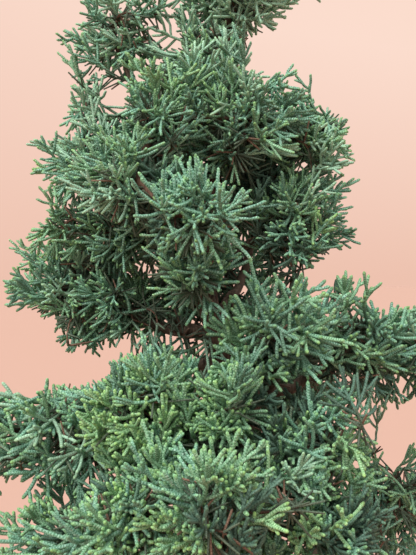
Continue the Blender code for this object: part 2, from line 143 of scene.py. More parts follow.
# Loose sprays outside the masses: from, to, how many, way, lengths, leafiness
FRINGES = [
    ((-66, 12, 250), (-34, 16, 248), 12, (-0.25, -0.10, -0.75), (9, 15), 0.8),
    ((-34, 8, 246), (14, 2, 244), 16, (-0.10, -0.15, -0.90), (18, 30), 0.6),
    ((-30, 30, 240), (26, 30, 236), 12, (0.0, 0.2, -0.85), (16, 28), 0.6),
    ((-94, -18, 200), (-58, -24, 198), 9, (-0.55, -0.10, -0.60), (14, 21), 1.0),
    ((-60, -30, 204), (-38, -36, 200), 6, (-0.10, -0.35, -0.60), (14, 20), 1.0),
    ((64, -2, 228), (100, 6, 230), 9, (0.15, -0.10, -0.85), (12, 19), 0.9),
    ((-30, 25, 396), (-16, 24, 392), 5, (0.0, 0.0, 1.0), (16, 22), 1.0),
    ((84, 40, 178), (104, 44, 182), 5, (0.1, 0.0, 0.9), (14, 24), 0.8),
    ((84, 40, 148), (106, 42, 146), 6, (0.1, -0.2, -0.9), (14, 20), 1.0),
    ((-66, 10, 297), (-58, 12, 284), 5, (-0.85, -0.2, 0.2), (9, 14), 1.0),
    ((16, -50, 197), (34, -50, 190), 5, (0.1, -0.8, 0.3), (11, 15), 1.0),
    ((-10, -2, 350), (18, -2, 352), 8, (0.05, -0.35, 0.9), (15, 22), 1.0),
    ((-40, -58, 220), (-14, -58, 230), 7, (-0.10, -0.1, 1.0), (11, 16), 1.0),
    ((2, -55, 222), (14, -55, 224), 4, (0.15, -0.2, 1.0), (14, 20), 1.0),
    ((66, -40, 216), (88, -36, 208), 6, (0.2, -0.3, -0.85), (12, 18), 0.9),
    ((42, 2, 336), (49, 4, 318), 5, (0.9, -0.2, 0.35), (8, 12), 1.0),
]


# How coarse a mass's shoots are against the crown's: the nearest are coarsest
GRAIN = {
    "foliage_front_star": 1.05, "foliage_right_star": 1.12,
    "foliage_right_outer": 1.10, "foliage_right_far": 1.05,
    "foliage_low_left": 1.12, "foliage_low_left_far": 1.12,
    "foliage_low_middle_left": 0.98, "foliage_low_middle": 1.00,
    "foliage_low_middle_right": 1.00, "foliage_near_front": 1.00,
    "foliage_bottom_front_left": 1.02, "foliage_bottom_front": 1.00,
    "foliage_bottom_front_right": 1.02, "foliage_bottom_left": 1.05,
}
FRONT = ("low_middle", "near_front", "bottom_front", "bottom_left",
         "low_left", "right_star", "right_outer")


# ------------------------------------------------------------------- helpers
def unit(v):
    v = np.asarray(v, float)
    n = np.linalg.norm(v, axis=-1, keepdims=True)
    return v / np.maximum(n, 1e-9)


def smooth_route(points, steps):
    pts = [np.array(p, float) for p in points]
    pts = [2 * pts[0] - pts[1]] + pts + [2 * pts[-1] - pts[-2]]
    fine = []
    for k in range(1, len(pts) - 2):
        a, b, c, d = pts[k - 1:k + 3]
        for i in range(24):
            t = i / 24
            fine.append(0.5 * ((2 * b) + (c - a) * t
                               + (2 * a - 5 * b + 4 * c - d) * t * t
                               + (3 * b - a - 3 * c + d) * t ** 3))
    fine.append(pts[-2])
    fine = np.array(fine)
    run = np.concatenate([[0], np.cumsum(np.linalg.norm(np.diff(fine, axis=0),
                                                        axis=1))])
    want = np.linspace(0, run[-1], steps + 1)
    return np.stack([np.interp(want, run, fine[:, k]) for k in range(3)], 1)


TRUNK_LINE = smooth_route(TRUNK_ROUTE, 240)


def trunk_radius(share):
    return TRUNK_TIP_R + (TRUNK_FOOT_R - TRUNK_TIP_R) * (1 - share)


def trunk_at(height):
    share = np.interp(height, TRUNK_LINE[:, 2], np.linspace(0, 1, 241))
    at = np.array([np.interp(height, TRUNK_LINE[:, 2], TRUNK_LINE[:, k])
                   for k in range(3)])
    return at, trunk_radius(share)


def bough_route(spec, steps):
    height, past, end, _, _ = spec
    start, _ = trunk_at(height)
    past, end = np.array(past, float), np.array(end, float)
    lift = np.linalg.norm(end - start) * BOUGH_SAG
    return smooth_route([start, start + (past - start) * 0.5
                         + np.array([0, 0, lift * 0.5]), past, end], steps)


def mesh_from(name, verts, faces, uvs=None, mat=None, smooth=True,
              slot=None, replaces=()):
    """One object from arrays: verts (mm), faces (n, 3 or 4), uvs per corner."""
    verts = np.ascontiguousarray(verts, np.float32) * np.float32(MM)
    faces = np.ascontiguousarray(faces, np.int32)
    n, k = faces.shape
    mesh = bpy.data.meshes.new(name)
    mesh.vertices.add(len(verts))
    mesh.vertices.foreach_set("co", verts.ravel())
    mesh.loops.add(n * k)
    mesh.loops.foreach_set("vertex_index", faces.ravel())
    mesh.polygons.add(n)
    mesh.polygons.foreach_set("loop_start", np.arange(0, n * k, k,
                                                      dtype=np.int32))
    if uvs is not None:
        layer = mesh.uv_layers.new(name="OFBake")
        layer.data.foreach_set("uv", np.ascontiguousarray(
            uvs, np.float32).ravel())
    mesh.update(calc_edges=True)
    mesh.validate()
    if smooth:
        mesh.shade_smooth()
    else:
        mesh.shade_flat()
    obj = bpy.data.objects.new(name, mesh)
    scene.collection.objects.link(obj)
    if mat is not None:
        mesh.materials.append(mat)
    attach(obj, BODY)
    if replaces:
        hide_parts(*replaces)
    return obj


# ----------------------------------------------------------------- materials
class Tree:
    """A short way to write a node tree."""

    def __init__(self, name, roughness=0.7, specular=0.3):
        self.mat = bpy.data.materials.new(name)
        self.mat.use_nodes = True
        self.nodes = self.mat.node_tree.nodes
        self.links = self.mat.node_tree.links
        self.shader = self.nodes["Principled BSDF"]
        self.shader.inputs["Roughness"].default_value = roughness
        self.shader.inputs["Specular IOR Level"].default_value = specular

    def add(self, kind, **props):
        node = self.nodes.new(kind)
        for key, value in props.items():
            setattr(node, key, value)
        return node

    def put(self, socket, value):
        if hasattr(value, "links"):
            self.links.new(value, socket)
        elif value is not None:
            socket.default_value = value

    def math(self, op, a, b=None, c=None, clamp=False):
        node = self.add("ShaderNodeMath", operation=op, use_clamp=clamp)
        for socket, value in zip(node.inputs, (a, b, c)):
            self.put(socket, value)
        return node.outputs[0]

    def mix(self, fac, a, b, blend="MIX"):
        node = self.add("ShaderNodeMix", data_type="RGBA", blend_type=blend)
        self.put(node.inputs["Factor"], fac)
        for key, value in (("A", a), ("B", b)):
            socket = [s for s in node.inputs
                      if s.name == key and s.type == "RGBA"][0]
            self.put(socket, (*value, 1.0) if isinstance(value, tuple)
                     else value)
        return [s for s in node.outputs if s.type == "RGBA"][0]

    def noise(self, vector, scale, detail=3.0, rough=0.55, dims="3D"):
        node = self.add("ShaderNodeTexNoise", noise_dimensions=dims)
        node.inputs["Scale"].default_value = scale
        node.inputs["Detail"].default_value = detail
        node.inputs["Roughness"].default_value = rough
        self.put(node.inputs["Vector"], vector)
        return node.outputs["Fac"]

    def ramp(self, fac, lo, hi):
        node = self.add("ShaderNodeMapRange", interpolation_type="SMOOTHSTEP")
        node.inputs["From Min"].default_value = lo
        node.inputs["From Max"].default_value = hi
        self.put(node.inputs["Value"], fac)
        return node.outputs["Result"]

    def bump(self, height, strength, distance):
        node = self.add("ShaderNodeBump")
        node.inputs["Strength"].default_value = strength
        node.inputs["Distance"].default_value = distance
        self.put(node.inputs["Height"], height)
        self.links.new(node.outputs["Normal"], self.shader.inputs["Normal"])

    def colour(self, value):
        self.links.new(value, self.shader.inputs["Base Color"])

    def rough(self, value):
        self.links.new(value, self.shader.inputs["Roughness"])


def foliage_material(name, deep, body, bloom, tip, tip_amount, rim=0.55):
    """Scale leaves in alternate pairs: a lattice of pale rims round darker
    backs, whiter in flecks, and greener young growth at a shoot's tip."""
    t = Tree(name, roughness=0.60, specular=0.30)
    uv = t.add("ShaderNodeTexCoord").outputs["UV"]
    sep = t.add("ShaderNodeSeparateXYZ")
    t.put(sep.inputs[0], uv)
    across = t.math("MULTIPLY", sep.outputs["X"], float(TILES))
    tile = t.math("FLOOR", across)
    around = t.math("MULTIPLY", t.math("FRACT", across), 4.0)
    along = t.math("MULTIPLY", sep.outputs["Y"], SHOOT_SPAN / LEAF_PITCH)
    spot = t.add("ShaderNodeCombineXYZ")
    t.put(spot.inputs[0], t.math("MULTIPLY", across, 4.0))
    t.put(spot.inputs[1], t.math("MULTIPLY", along, 0.5))
    t.put(spot.inputs[2], tile)
    speck = t.noise(spot.outputs[0], 1.1, 2.0)
    # diamonds: four round the shoot, each as long as two pairs of leaves
    stray = t.math("MULTIPLY", t.math("SUBTRACT", speck, 0.5), 1.6)
    net = t.math("MULTIPLY", t.math("ABSOLUTE", t.math(
        "ADD", t.math("COSINE", t.math("MULTIPLY", t.math(
            "ADD", around, stray), math.pi)),
        t.math("COSINE", t.math("MULTIPLY", t.math(
            "SUBTRACT", along, stray), math.pi)))), 0.5)
    edge = t.ramp(net, 0.30, 0.08)
    heart = t.ramp(net, 0.50, 0.86)
    white = t.math("MULTIPLY", t.ramp(speck, 0.50, 0.66),
                   t.math("ADD", 0.25, t.math("MULTIPLY", edge, 0.75)))
    rand = t.add("ShaderNodeTexWhiteNoise", noise_dimensions="1D")
    t.put(rand.inputs["W"], tile)
    rand2 = t.add("ShaderNodeTexWhiteNoise", noise_dimensions="1D")
    t.put(rand2.inputs["W"], t.math("ADD", tile, 40.5))
    shade = t.math("ADD", 0.78, t.math("MULTIPLY", rand.outputs["Value"], 0.44))
    col = t.mix(t.math("MULTIPLY", heart, 0.66), body, deep)
    col = t.mix(t.math("MULTIPLY", rand2.outputs["Value"], 0.16), col, tip)
    col = t.mix(t.math("MULTIPLY", edge, rim * 0.5), col, bloom)
    col = t.mix(t.math("MULTIPLY", white, rim), col, bloom)
    young = t.ramp(sep.outputs["Y"], 1.0 - 2.2 / SHOOT_SPAN,
                   1.0 - 0.4 / SHOOT_SPAN)
    young = t.math("MULTIPLY", young, t.math(
        "ADD", 0.35, t.math("MULTIPLY", rand2.outputs["Value"], 0.9)))
    col = t.mix(t.math("MULTIPLY", young, tip_amount, clamp=True), col, tip)
    old = t.ramp(sep.outputs["Y"], 1.0 - 14.0 / SHOOT_SPAN,
                 1.0 - 26.0 / SHOOT_SPAN)
    col = t.mix(t.math("MULTIPLY", old, 0.45), col, (0.120, 0.105, 0.065))
    grey = t.add("ShaderNodeCombineColor")
    for k in range(3):
        t.put(grey.inputs[k], shade)
    col = t.mix(1.0, col, grey.outputs[0], blend="MULTIPLY")
    t.colour(col)
    t.rough(t.math("SUBTRACT", 0.70, t.math("MULTIPLY", edge, 0.14)))
    t.bump(edge, 0.5, 0.0003)
    return t.mat


def wood_material(name, dark, body, light, scale=1.0, bump=0.6):
    """Fibrous bark: long strips and flakes with paler ridges."""
    t = Tree(name, roughness=0.85, specular=0.2)
    obj = t.add("ShaderNodeTexCoord").outputs["Object"]
    stretch = t.add("ShaderNodeMapping")
    stretch.inputs["Scale"].default_value = (1.0, 1.0, 0.22)
    t.put(stretch.inputs["Vector"], obj)
    fibre = t.noise(stretch.outputs[0], 620.0 * scale, 6.0, 0.62)
    patch = t.noise(obj, 70.0 * scale, 3.0)
    fine = t.noise(stretch.outputs[0], 1900.0 * scale, 3.0, 0.6)
    col = t.mix(t.ramp(fibre, 0.36, 0.60), dark, body)
    col = t.mix(t.math("MULTIPLY", t.ramp(fibre, 0.55, 0.72), 0.8), col, light)
    col = t.mix(t.math("MULTIPLY", t.ramp(patch, 0.42, 0.68), 0.45), col, light)
    t.colour(col)
    t.rough(t.math("ADD", 0.72, t.math("MULTIPLY", fine, 0.25)))
    height = t.math("ADD", fibre, t.math("MULTIPLY", fine, 0.35))
    t.bump(height, bump, 0.0008)
    return t.mat


# ------------------------------------------------------------ camera and world
def add_camera():
    data = bpy.data.cameras.new("camera")
    data.sensor_width = 36.0
    data.lens = 36.0 * 675.0 / 555.0
    data.clip_start, data.clip_end = 0.01, 50.0
    cam = bpy.data.objects.new("camera", data)
    cam.location = (0.0, -0.300, 0.270)
    cam.rotation_euler = (math.radians(90), 0, 0)
    scene.collection.objects.link(cam)
    scene.camera = cam


WORLD_STRENGTH = 0.95
KEY_ENERGY = 4.0
KEY_FROM = (-0.55, -0.85, 1.25)
FLOOR_COLOUR = (0.462, 0.284, 0.222)


def add_stage():
    scene.view_settings.view_transform = "Standard"
    world = bpy.data.worlds.new("studio")
    scene.world = world
    world.use_nodes = True
    nodes, links = world.node_tree.nodes, world.node_tree.links
    nodes.clear()
    out = nodes.new("ShaderNodeOutputWorld")
    seen = nodes.new("ShaderNodeBackground")
    lit = nodes.new("ShaderNodeBackground")
    mix = nodes.new("ShaderNodeMixShader")
    path = nodes.new("ShaderNodeLightPath")
    coord = nodes.new("ShaderNodeTexCoord")
    sep = nodes.new("ShaderNodeSeparateXYZ")
    ramp = nodes.new("ShaderNodeMapRange")
    tint = nodes.new("ShaderNodeMix")
    tint.data_type = "RGBA"
    links.new(coord.outputs["Generated"], sep.inputs[0])
    # painted light on the backdrop: the colour seen by the camera grows lighter upwards and, above
    # the horizon, towards the right
    lean = nodes.new("ShaderNodeMath")          # a little lighter to the right,
    lean.operation = "MULTIPLY"                 # but level with the floor
    lean.inputs[1].default_value = 0.75
    links.new(sep.outputs["Z"], lean.inputs[0])
    tilt = nodes.new("ShaderNodeMath")
    tilt.operation = "MULTIPLY_ADD"
    links.new(lean.outputs[0], tilt.inputs[1])
    links.new(sep.outputs["X"], tilt.inputs[0])
    links.new(sep.outputs["Z"], tilt.inputs[2])
    links.new(tilt.outputs[0], ramp.inputs["Value"])
    ramp.inputs["From Min"].default_value = 0.0
    ramp.inputs["From Max"].default_value = 0.37
    links.new(ramp.outputs["Result"], tint.inputs["Factor"])
    tint.inputs[6].default_value = (0.850, 0.540, 0.428, 1)
    tint.inputs[7].default_value = (0.968, 0.720, 0.612, 1)
    links.new(tint.outputs[2], seen.inputs["Color"])
    lit.inputs["Color"].default_value = (0.94, 0.94, 0.94, 1)
    lit.inputs["Strength"].default_value = WORLD_STRENGTH
    links.new(path.outputs["Is Camera Ray"], mix.inputs[0])
    links.new(lit.outputs[0], mix.inputs[1])
    links.new(seen.outputs[0], mix.inputs[2])
    links.new(mix.outputs[0], out.inputs["Surface"])

    bpy.ops.mesh.primitive_circle_add(vertices=96, radius=20.0,
                                      fill_type="NGON")
    floor = bpy.context.object
    floor.name = "floor"
    t = Tree("floor_matte", roughness=0.95, specular=0.05)
    obj = t.add("ShaderNodeTexCoord").outputs["Object"]
    soft = t.noise(obj, 1.2, 2.0)
    t.colour(t.mix(t.math("MULTIPLY", soft, 0.2), FLOOR_COLOUR,
                   tuple(c * 0.95 for c in FLOOR_COLOUR)))
    floor.data.materials.append(t.mat)

    sun = bpy.data.lights.new("key_soft", "SUN")
    sun.energy = KEY_ENERGY
    sun.angle = math.radians(42)
    sun.color = (1.0, 0.995, 0.985)
    key = bpy.data.objects.new("key_soft", sun)
    key.rotation_euler = Vector(KEY_FROM).to_track_quat("Z", "Y").to_euler()
    scene.collection.objects.link(key)


# --------------------------------------------------------------- bark meshes
def frames_along(line):
    tang = np.gradient(line, axis=0)
    tang = unit(tang)
    ref = np.array([1.0, 0.12, 0.05])
    if abs(tang[0] @ unit(ref)) > 0.8:
        ref = np.array([0.1, 1.0, 0.1])
    first = unit(ref - tang[0] * (ref @ tang[0]))
    norms = [first]
    for k in range(1, len(line)):
        n = norms[-1] - tang[k] * (norms[-1] @ tang[k])
        norms.append(unit(n))
    norms = np.array(norms)
    return tang, norms, np.cross(tang, norms)


def grid_faces(rows, cols, base=0):
    i, k = np.meshgrid(np.arange(rows - 1), np.arange(cols), indexing="ij")
    a = base + i * cols + k
    b = base + i * cols + (k + 1) % cols
    return np.stack([a, b, b + cols, a + cols], -1).reshape(-1, 4)


def bark_tube(line, radii, sides, relief, strips, seed, cap=True):
    """A limb with long raised fibres, knots and small hollows in its surface."""
    tang, nor, bi = frames_along(line)
    rows = len(line)
    run = np.concatenate([[0], np.cumsum(np.linalg.norm(
        np.diff(line, axis=0), axis=1))])
    ang = np.arange(sides) * 2 * math.pi / sides
    out = np.zeros((rows, sides))
    for i in range(rows):
        for k in range(sides):
            c, s = math.cos(ang[k]), math.sin(ang[k])
            a = noise.noise(Vector((c * strips, s * strips,
                                    run[i] * 0.055 + seed)))
            b = noise.noise(Vector((c * strips * 2.3 + 9, s * strips * 2.3,
                                    run[i] * 0.13 - seed)))
            d = noise.noise(Vector((c * 1.6, s * 1.6, run[i] * 0.09
                                    + 3 * seed)))
            out[i, k] = 0.62 * (1 - abs(a) * 2.6) + 0.38 * b + 0.5 * d
    rad = radii[:, None] * (1 + relief * out)
    ring = (np.cos(ang)[None, :, None] * nor[:, None, :]
            + np.sin(ang)[None, :, None] * bi[:, None, :])
    verts = (line[:, None, :] + ring * rad[..., None]).reshape(-1, 3)
    faces = grid_faces(rows, sides)
    if cap:
        tip = len(verts)
        verts = np.vstack([verts, line[-1] + tang[-1] * radii[-1] * 0.7])
        last = (rows - 1) * sides + np.arange(sides)
        nxt = (rows - 1) * sides + (np.arange(sides) + 1) % sides
        end = np.stack([last, nxt, np.full(sides, tip),
                        np.full(sides, tip)], -1)
        faces = np.vstack([faces, end])
    return verts, faces


def split_quads(faces):
    """Quads to triangles; a quad whose last two corners agree is a triangle."""
    a = faces[:, [0, 1, 2]]
    real = faces[:, 2] != faces[:, 3]
    return np.vstack([a, faces[real][:, [0, 2, 3]]])


def make_trunk(mat):
    rows, sides = 330, 60
    line = smooth_route(TRUNK_ROUTE, rows)
    radii = trunk_radius(np.linspace(0, 1, rows + 1))
    keep = line[:, 2] > SOIL_TOP_Z - 3.5
    line, radii = line[keep], radii[keep]
    verts, faces = bark_tube(line, radii, sides, 0.085, 3.1, 4.2)
    grown = verts.copy()
    for i, v in enumerate(verts):
        low = 1 - (v[2] - SOIL_TOP_Z) / FLARE_HEIGHT
        if low <= 0:
            continue
        low = min(low, 1.0)
        centre, _ = trunk_at(max(v[2], TRUNK_LINE[0, 2]))
        away = v[:2] - centre[:2]
        turn = math.atan2(away[1], away[0])
        grow = 1 + FLARE_SPREAD * low ** 2.2 * (
            1 + FLARE_RIDGE / FLARE_SPREAD * 2
            * math.cos(FLARE_ROOTS * turn + 0.7)
            + 0.18 * math.cos(2 * turn - 0.9))
        grown[i, :2] = centre[:2] + away * grow
    return mesh_from("trunk_bark", grown, split_quads(faces), mat=mat,
                     slot="bark", replaces=["trunk"])


def make_boughs(mat):
    all_v, all_f, base = [], [], 0
    for index, (name, spec) in enumerate(BOUGHS.items()):
        line = bough_route(spec, 60)
        t = np.linspace(0, 1, 61)
        radii = spec[3] + (spec[4] - spec[3]) * t ** 0.8
        run = t * np.linalg.norm(np.diff(line, axis=0), axis=1).sum()
        _, root = trunk_at(spec[0])
        radii = radii * (1 + 0.55 * np.exp(-np.maximum(run - root, 0) / 3.2))
        radii = radii * (1 - 0.5 * np.clip((t - 0.8) / 0.2, 0, 1))
        wob = np.array([[noise.noise(Vector((r * 0.10, index * 7.1, k * 3.3)))
                         for k in range(3)] for r in run])
        fade = np.minimum(t * 5, 1) * np.minimum((1 - t) * 5, 1)
        line = line + wob * fade[:, None] * 1.1
        verts, faces = bark_tube(line, radii, 16, 0.13, 2.0, 1.7 * index + 2)
        all_v.append(verts)
        all_f.append(split_quads(faces) + base)
        base += len(verts)
    return mesh_from("boughs_bark", np.vstack(all_v), np.vstack(all_f),
                     mat=mat, slot="bark", replaces=list(BOUGHS))


# ------------------------------------------------------------------ the masses
class Mass:
    def __init__(self, name, obj):
        self.name = name
        mesh = obj.data
        co = np.zeros(len(mesh.vertices) * 3)
        mesh.vertices.foreach_get("co", co)
        self.co = co.reshape(-1, 3) / MM
        mesh.calc_loop_triangles()
        tri = np.zeros(len(mesh.loop_triangles) * 3, np.int32)
        mesh.loop_triangles.foreach_get("vertices", tri)
        self.tri = tri.reshape(-1, 3)
        self.tree = BVHTree.FromPolygons([tuple(c) for c in self.co],
                                         [tuple(t) for t in self.tri])
        self.centre = (self.co.min(0) + self.co.max(0)) / 2
        self.size = (self.co.max(0) - self.co.min(0)) / 2

    def reach(self, way):
        """Distance from the centre to the outer surface in a direction."""
        way = unit(way)
        start = self.centre + way * 120
        hit = self.tree.ray_cast(Vector(start), Vector(-way))
        return 0.0 if hit[0] is None else 120.0 - hit[3]

    def surface_spots(self, rng, count):
        a, b, c = (self.co[self.tri[:, k]] for k in range(3))
        cross = np.cross(b - a, c - a)
        area = np.linalg.norm(cross, axis=1) / 2
        pick = rng.choice(len(area), count, p=area / area.sum())
        u, v = rng.random(count), rng.random(count)
        flip = u + v > 1
        u[flip], v[flip] = 1 - u[flip], 1 - v[flip]
        spots = (a[pick] + (b - a)[pick] * u[:, None]
                 + (c - a)[pick] * v[:, None])
        return spots, unit(cross[pick]), area.sum()


def limb_points():
    """Stations on the limbs, where twigs can start: place, way, radius."""
    spots, ways, radii = [], [], []
    for i in range(100, 236, 3):
        spots.append(TRUNK_LINE[i])
        ways.append(unit(TRUNK_LINE[i + 1] - TRUNK_LINE[i]))
        radii.append(trunk_radius(i / 240))
    for spec in BOUGHS.values():
        line = bough_route(spec, 16)
        for i in range(5, 17):
            spots.append(line[i])
            ways.append(unit(line[i] - line[i - 1]))
            radii.append(spec[3] + (spec[4] - spec[3]) * (i / 16) ** 0.8)
    return np.array(spots), np.array(ways), np.array(radii)


# -------------------------------------------------------------- growing sprays
class Shoots:
    """Collects shoots: three control points, two radii, tile, twist, rings."""

    def __init__(self):
        self.rows = []

    def add(self, rng, p0, p1, p2, r0, r1, pitch, least=1):
        n = len(p0)
        extra = np.empty((n, 5))
        extra[:, 0], extra[:, 1] = r0, r1
        extra[:, 2] = rng.integers(0, TILES, n)
        extra[:, 3] = rng.random(n) * 2 * math.pi
        length = (np.linalg.norm(p1 - p0, axis=1)
                  + np.linalg.norm(p2 - p1, axis=1))
        extra[:, 4] = np.clip(np.round(length / pitch), least, 20)
        self.rows.append(np.hstack([p0, p1, p2, extra]))

    def array(self):
        return np.vstack(self.rows) if self.rows else np.zeros((0, 14))


def rot(v, axis, ang):
    """Turns vectors about unit axes by angles."""
    c, s = np.cos(ang)[..., None], np.sin(ang)[..., None]
    return (v * c + np.cross(axis, v) * s
            + axis * (np.sum(axis * v, -1, keepdims=True)) * (1 - c))


def bezier(p0, p1, p2, t):
    t = t[..., None]
    return (1 - t) ** 2 * p0 + 2 * t * (1 - t) * p1 + t ** 2 * p2


def in_sky(points, areas=SKY):
    """Which points lie where the plant is open to the sky from the front."""
    p = np.atleast_2d(points) - np.array(EYE)
    u = 208.0 + EYE_SCALE * p[:, 0] / p[:, 1]
    v = 277.5 - EYE_SCALE * p[:, 2] / p[:, 1]
    out = np.zeros(len(p), bool)
    for cu, cv, hu, hv in areas:
        out |= ((u - cu) / hu) ** 2 + ((v - cv) / hv) ** 2 < 1
    return out


HABITS = {
    # side shoots (least, most), first one's share of the leader, their angle
    # to it at its foot and tip, length there, and forks: (from, to, share),
    # the forks' angle and their length against the side shoot's
    "plume": ((7, 10), 0.08, (60, 27), (1.10, 0.62),
              ((0.22, 0.36, 0.50), (0.44, 0.58, 0.62), (0.66, 0.78, 0.40)),
              (28, 46), 0.58),
    "star": ((8, 12), 0.42, (84, 32), (1.06, 0.86),
             ((0.24, 0.40, 0.34), (0.46, 0.60, 0.52), (0.68, 0.80, 0.36)),
             (30, 50), 0.50),
    "fern": ((6, 9), 0.10, (60, 30), (1.08, 0.62),
             ((0.24, 0.40, 0.46), (0.48, 0.64, 0.60), (0.70, 0.84, 0.40)),
             (34, 54), 0.48),
    "tuft": ((9, 12), 0.08, (50, 24), (0.92, 0.56),
             ((0.18, 0.30, 0.62), (0.38, 0.50, 0.74), (0.58, 0.70, 0.66),
              (0.76, 0.86, 0.40)), (32, 50), 0.46),
}


def in_hollow(points, grow=1.0):
    """Which points lie in a dark hollow as seen from the front."""
    y = np.atleast_2d(points)[:, 1]
    p = np.atleast_2d(points) - np.array(EYE)
    u = 208.0 + EYE_SCALE * p[:, 0] / p[:, 1]
    v = 277.5 - EYE_SCALE * p[:, 2] / p[:, 1]
    out = np.zeros(len(p), bool)
    for cu, cv, hu, hv, back in HOLLOWS:
        out |= ((((u - cu) / hu) ** 2 + ((v - cv) / hv) ** 2 < grow ** 2)
                & (y < back))
    return out


def grow_spray(rng, out, base, way, length, lift, habit, leafy=1.0, grain=1.0,
               pitch=3.2, shaded=False):
    """One spray: a leader, side shoots all round it, and their own forks."""
    open_here = in_sky if shaded else (
        lambda ends: in_sky(ends) | in_hollow(ends, 0.75))
    (few, many), first, lean, sizes, sites, fork_angle, fork = HABITS[habit]
    thick = SHOOT_R * grain
    side_length = SIDE_LENGTH * grain ** 0.7 * rng.uniform(0.86, 1.14)
    way = unit(way)
    ref = unit(np.cross(way, unit(rng.normal(size=3))))
    other = np.cross(way, ref)
    bend = (ref * rng.normal() + other * rng.normal()) * 0.08 * length
    p0, p1 = base, base + way * length * 0.5 + bend
    p2 = base + way * length + UP * lift * 0.3 * length
    out.add(rng, p0[None], p1[None], p2[None], 1.02 * thick, 0.96 * thick,
            pitch)
    n = max(4, round(rng.integers(few, many + 1) * leafy))
    k = np.arange(n)
    t = first + (0.94 - first) * (k + rng.random(n) * 0.8) / n
    far = (t - first) / (0.94 - first)
    phi = rng.random() * 6.28 + 2.4 * k + rng.normal(0, 0.30, n)
    alpha = np.radians(lean[0] + (lean[1] - lean[0]) * far
                       + rng.normal(0, 9, n))
    size = (side_length * (sizes[0] + (sizes[1] - sizes[0]) * far)
            * rng.uniform(0.58, 1.24, n))
    start = bezier(p0, p1, p2, t)
    around = np.cos(phi)[:, None] * ref + np.sin(phi)[:, None] * other

    def along(a):
        return np.cos(a)[:, None] * way + np.sin(a)[:, None] * around

    d0 = unit(along(alpha + 0.18))
    d1 = unit(along(alpha - 0.22) + UP * lift + rng.normal(0, 0.14, (n, 3)))
    mid = start + d0 * (size * 0.5)[:, None]
    end = mid + d1 * (size * 0.5)[:, None]
    keep = ~open_here(end)
    start, mid, end, size, k = (a[keep] for a in (start, mid, end, size, k))
    if not len(k):
        return
    out.add(rng, start, mid, end, thick, 0.97 * thick, pitch)
    # forks of the side shoots, left and right of each in turn
    tang = unit(end - start)
    flat = unit(np.cross(tang, way) + rng.normal(0, 0.25, tang.shape))
    flat = unit(flat - tang * np.sum(flat * tang, -1, keepdims=True))
    roll = rng.normal(0, 0.5, len(k))
    for j, (lo, hi, share) in enumerate(sites):
        on = (rng.random(len(k)) < share * leafy) & (size * (1 - lo) > 4.0)
        if not on.any():
            continue
        m = int(on.sum())
        foot = bezier(start[on], mid[on], end[on], rng.uniform(lo, hi, m))
        sign = np.where((k[on] + j) % 2 == 0, 1.0, -1.0)
        side = rot(flat[on], tang[on], roll[on] + 0.5 * j) * sign[:, None]
        a = np.radians(rng.uniform(*fork_angle, m))[:, None]
        d = unit(tang[on] * np.cos(a) + side * np.sin(a))
        e = unit(tang[on] * np.cos(a * 0.66) + side * np.sin(a * 0.66)
                 + UP * lift * 0.6)
        ln = np.clip(size[on] * (fork - 0.07 * j) * rng.uniform(0.75, 1.25, m),
                     3.2, 10.5 * grain)[:, None]
        mid2 = foot + d * ln * 0.5
        end2 = mid2 + e * ln * 0.5
        ok = ~open_here(end2)
        if ok.any():
            out.add(rng, foot[ok], mid2[ok], end2[ok], 0.94 * thick,
                    0.92 * thick, pitch)
    # short forks crowd round the leader's tip
    c = 3
    foot = bezier(p0[None], p1[None], p2[None], rng.uniform(0.60, 0.90, c))
    ph = rng.random() * 6.28 + np.arange(c) * 2.1
    d = unit(way * 0.95 + 0.62 * (np.cos(ph)[:, None] * ref
                                  + np.sin(ph)[:, None] * other))
    ln = rng.uniform(4.5, 8.0, c)[:, None] * grain
    out.add(rng, foot, foot + d * ln * 0.5, foot + unit(d + way * 0.4) * ln,
            0.94 * thick, 0.92 * thick, pitch)


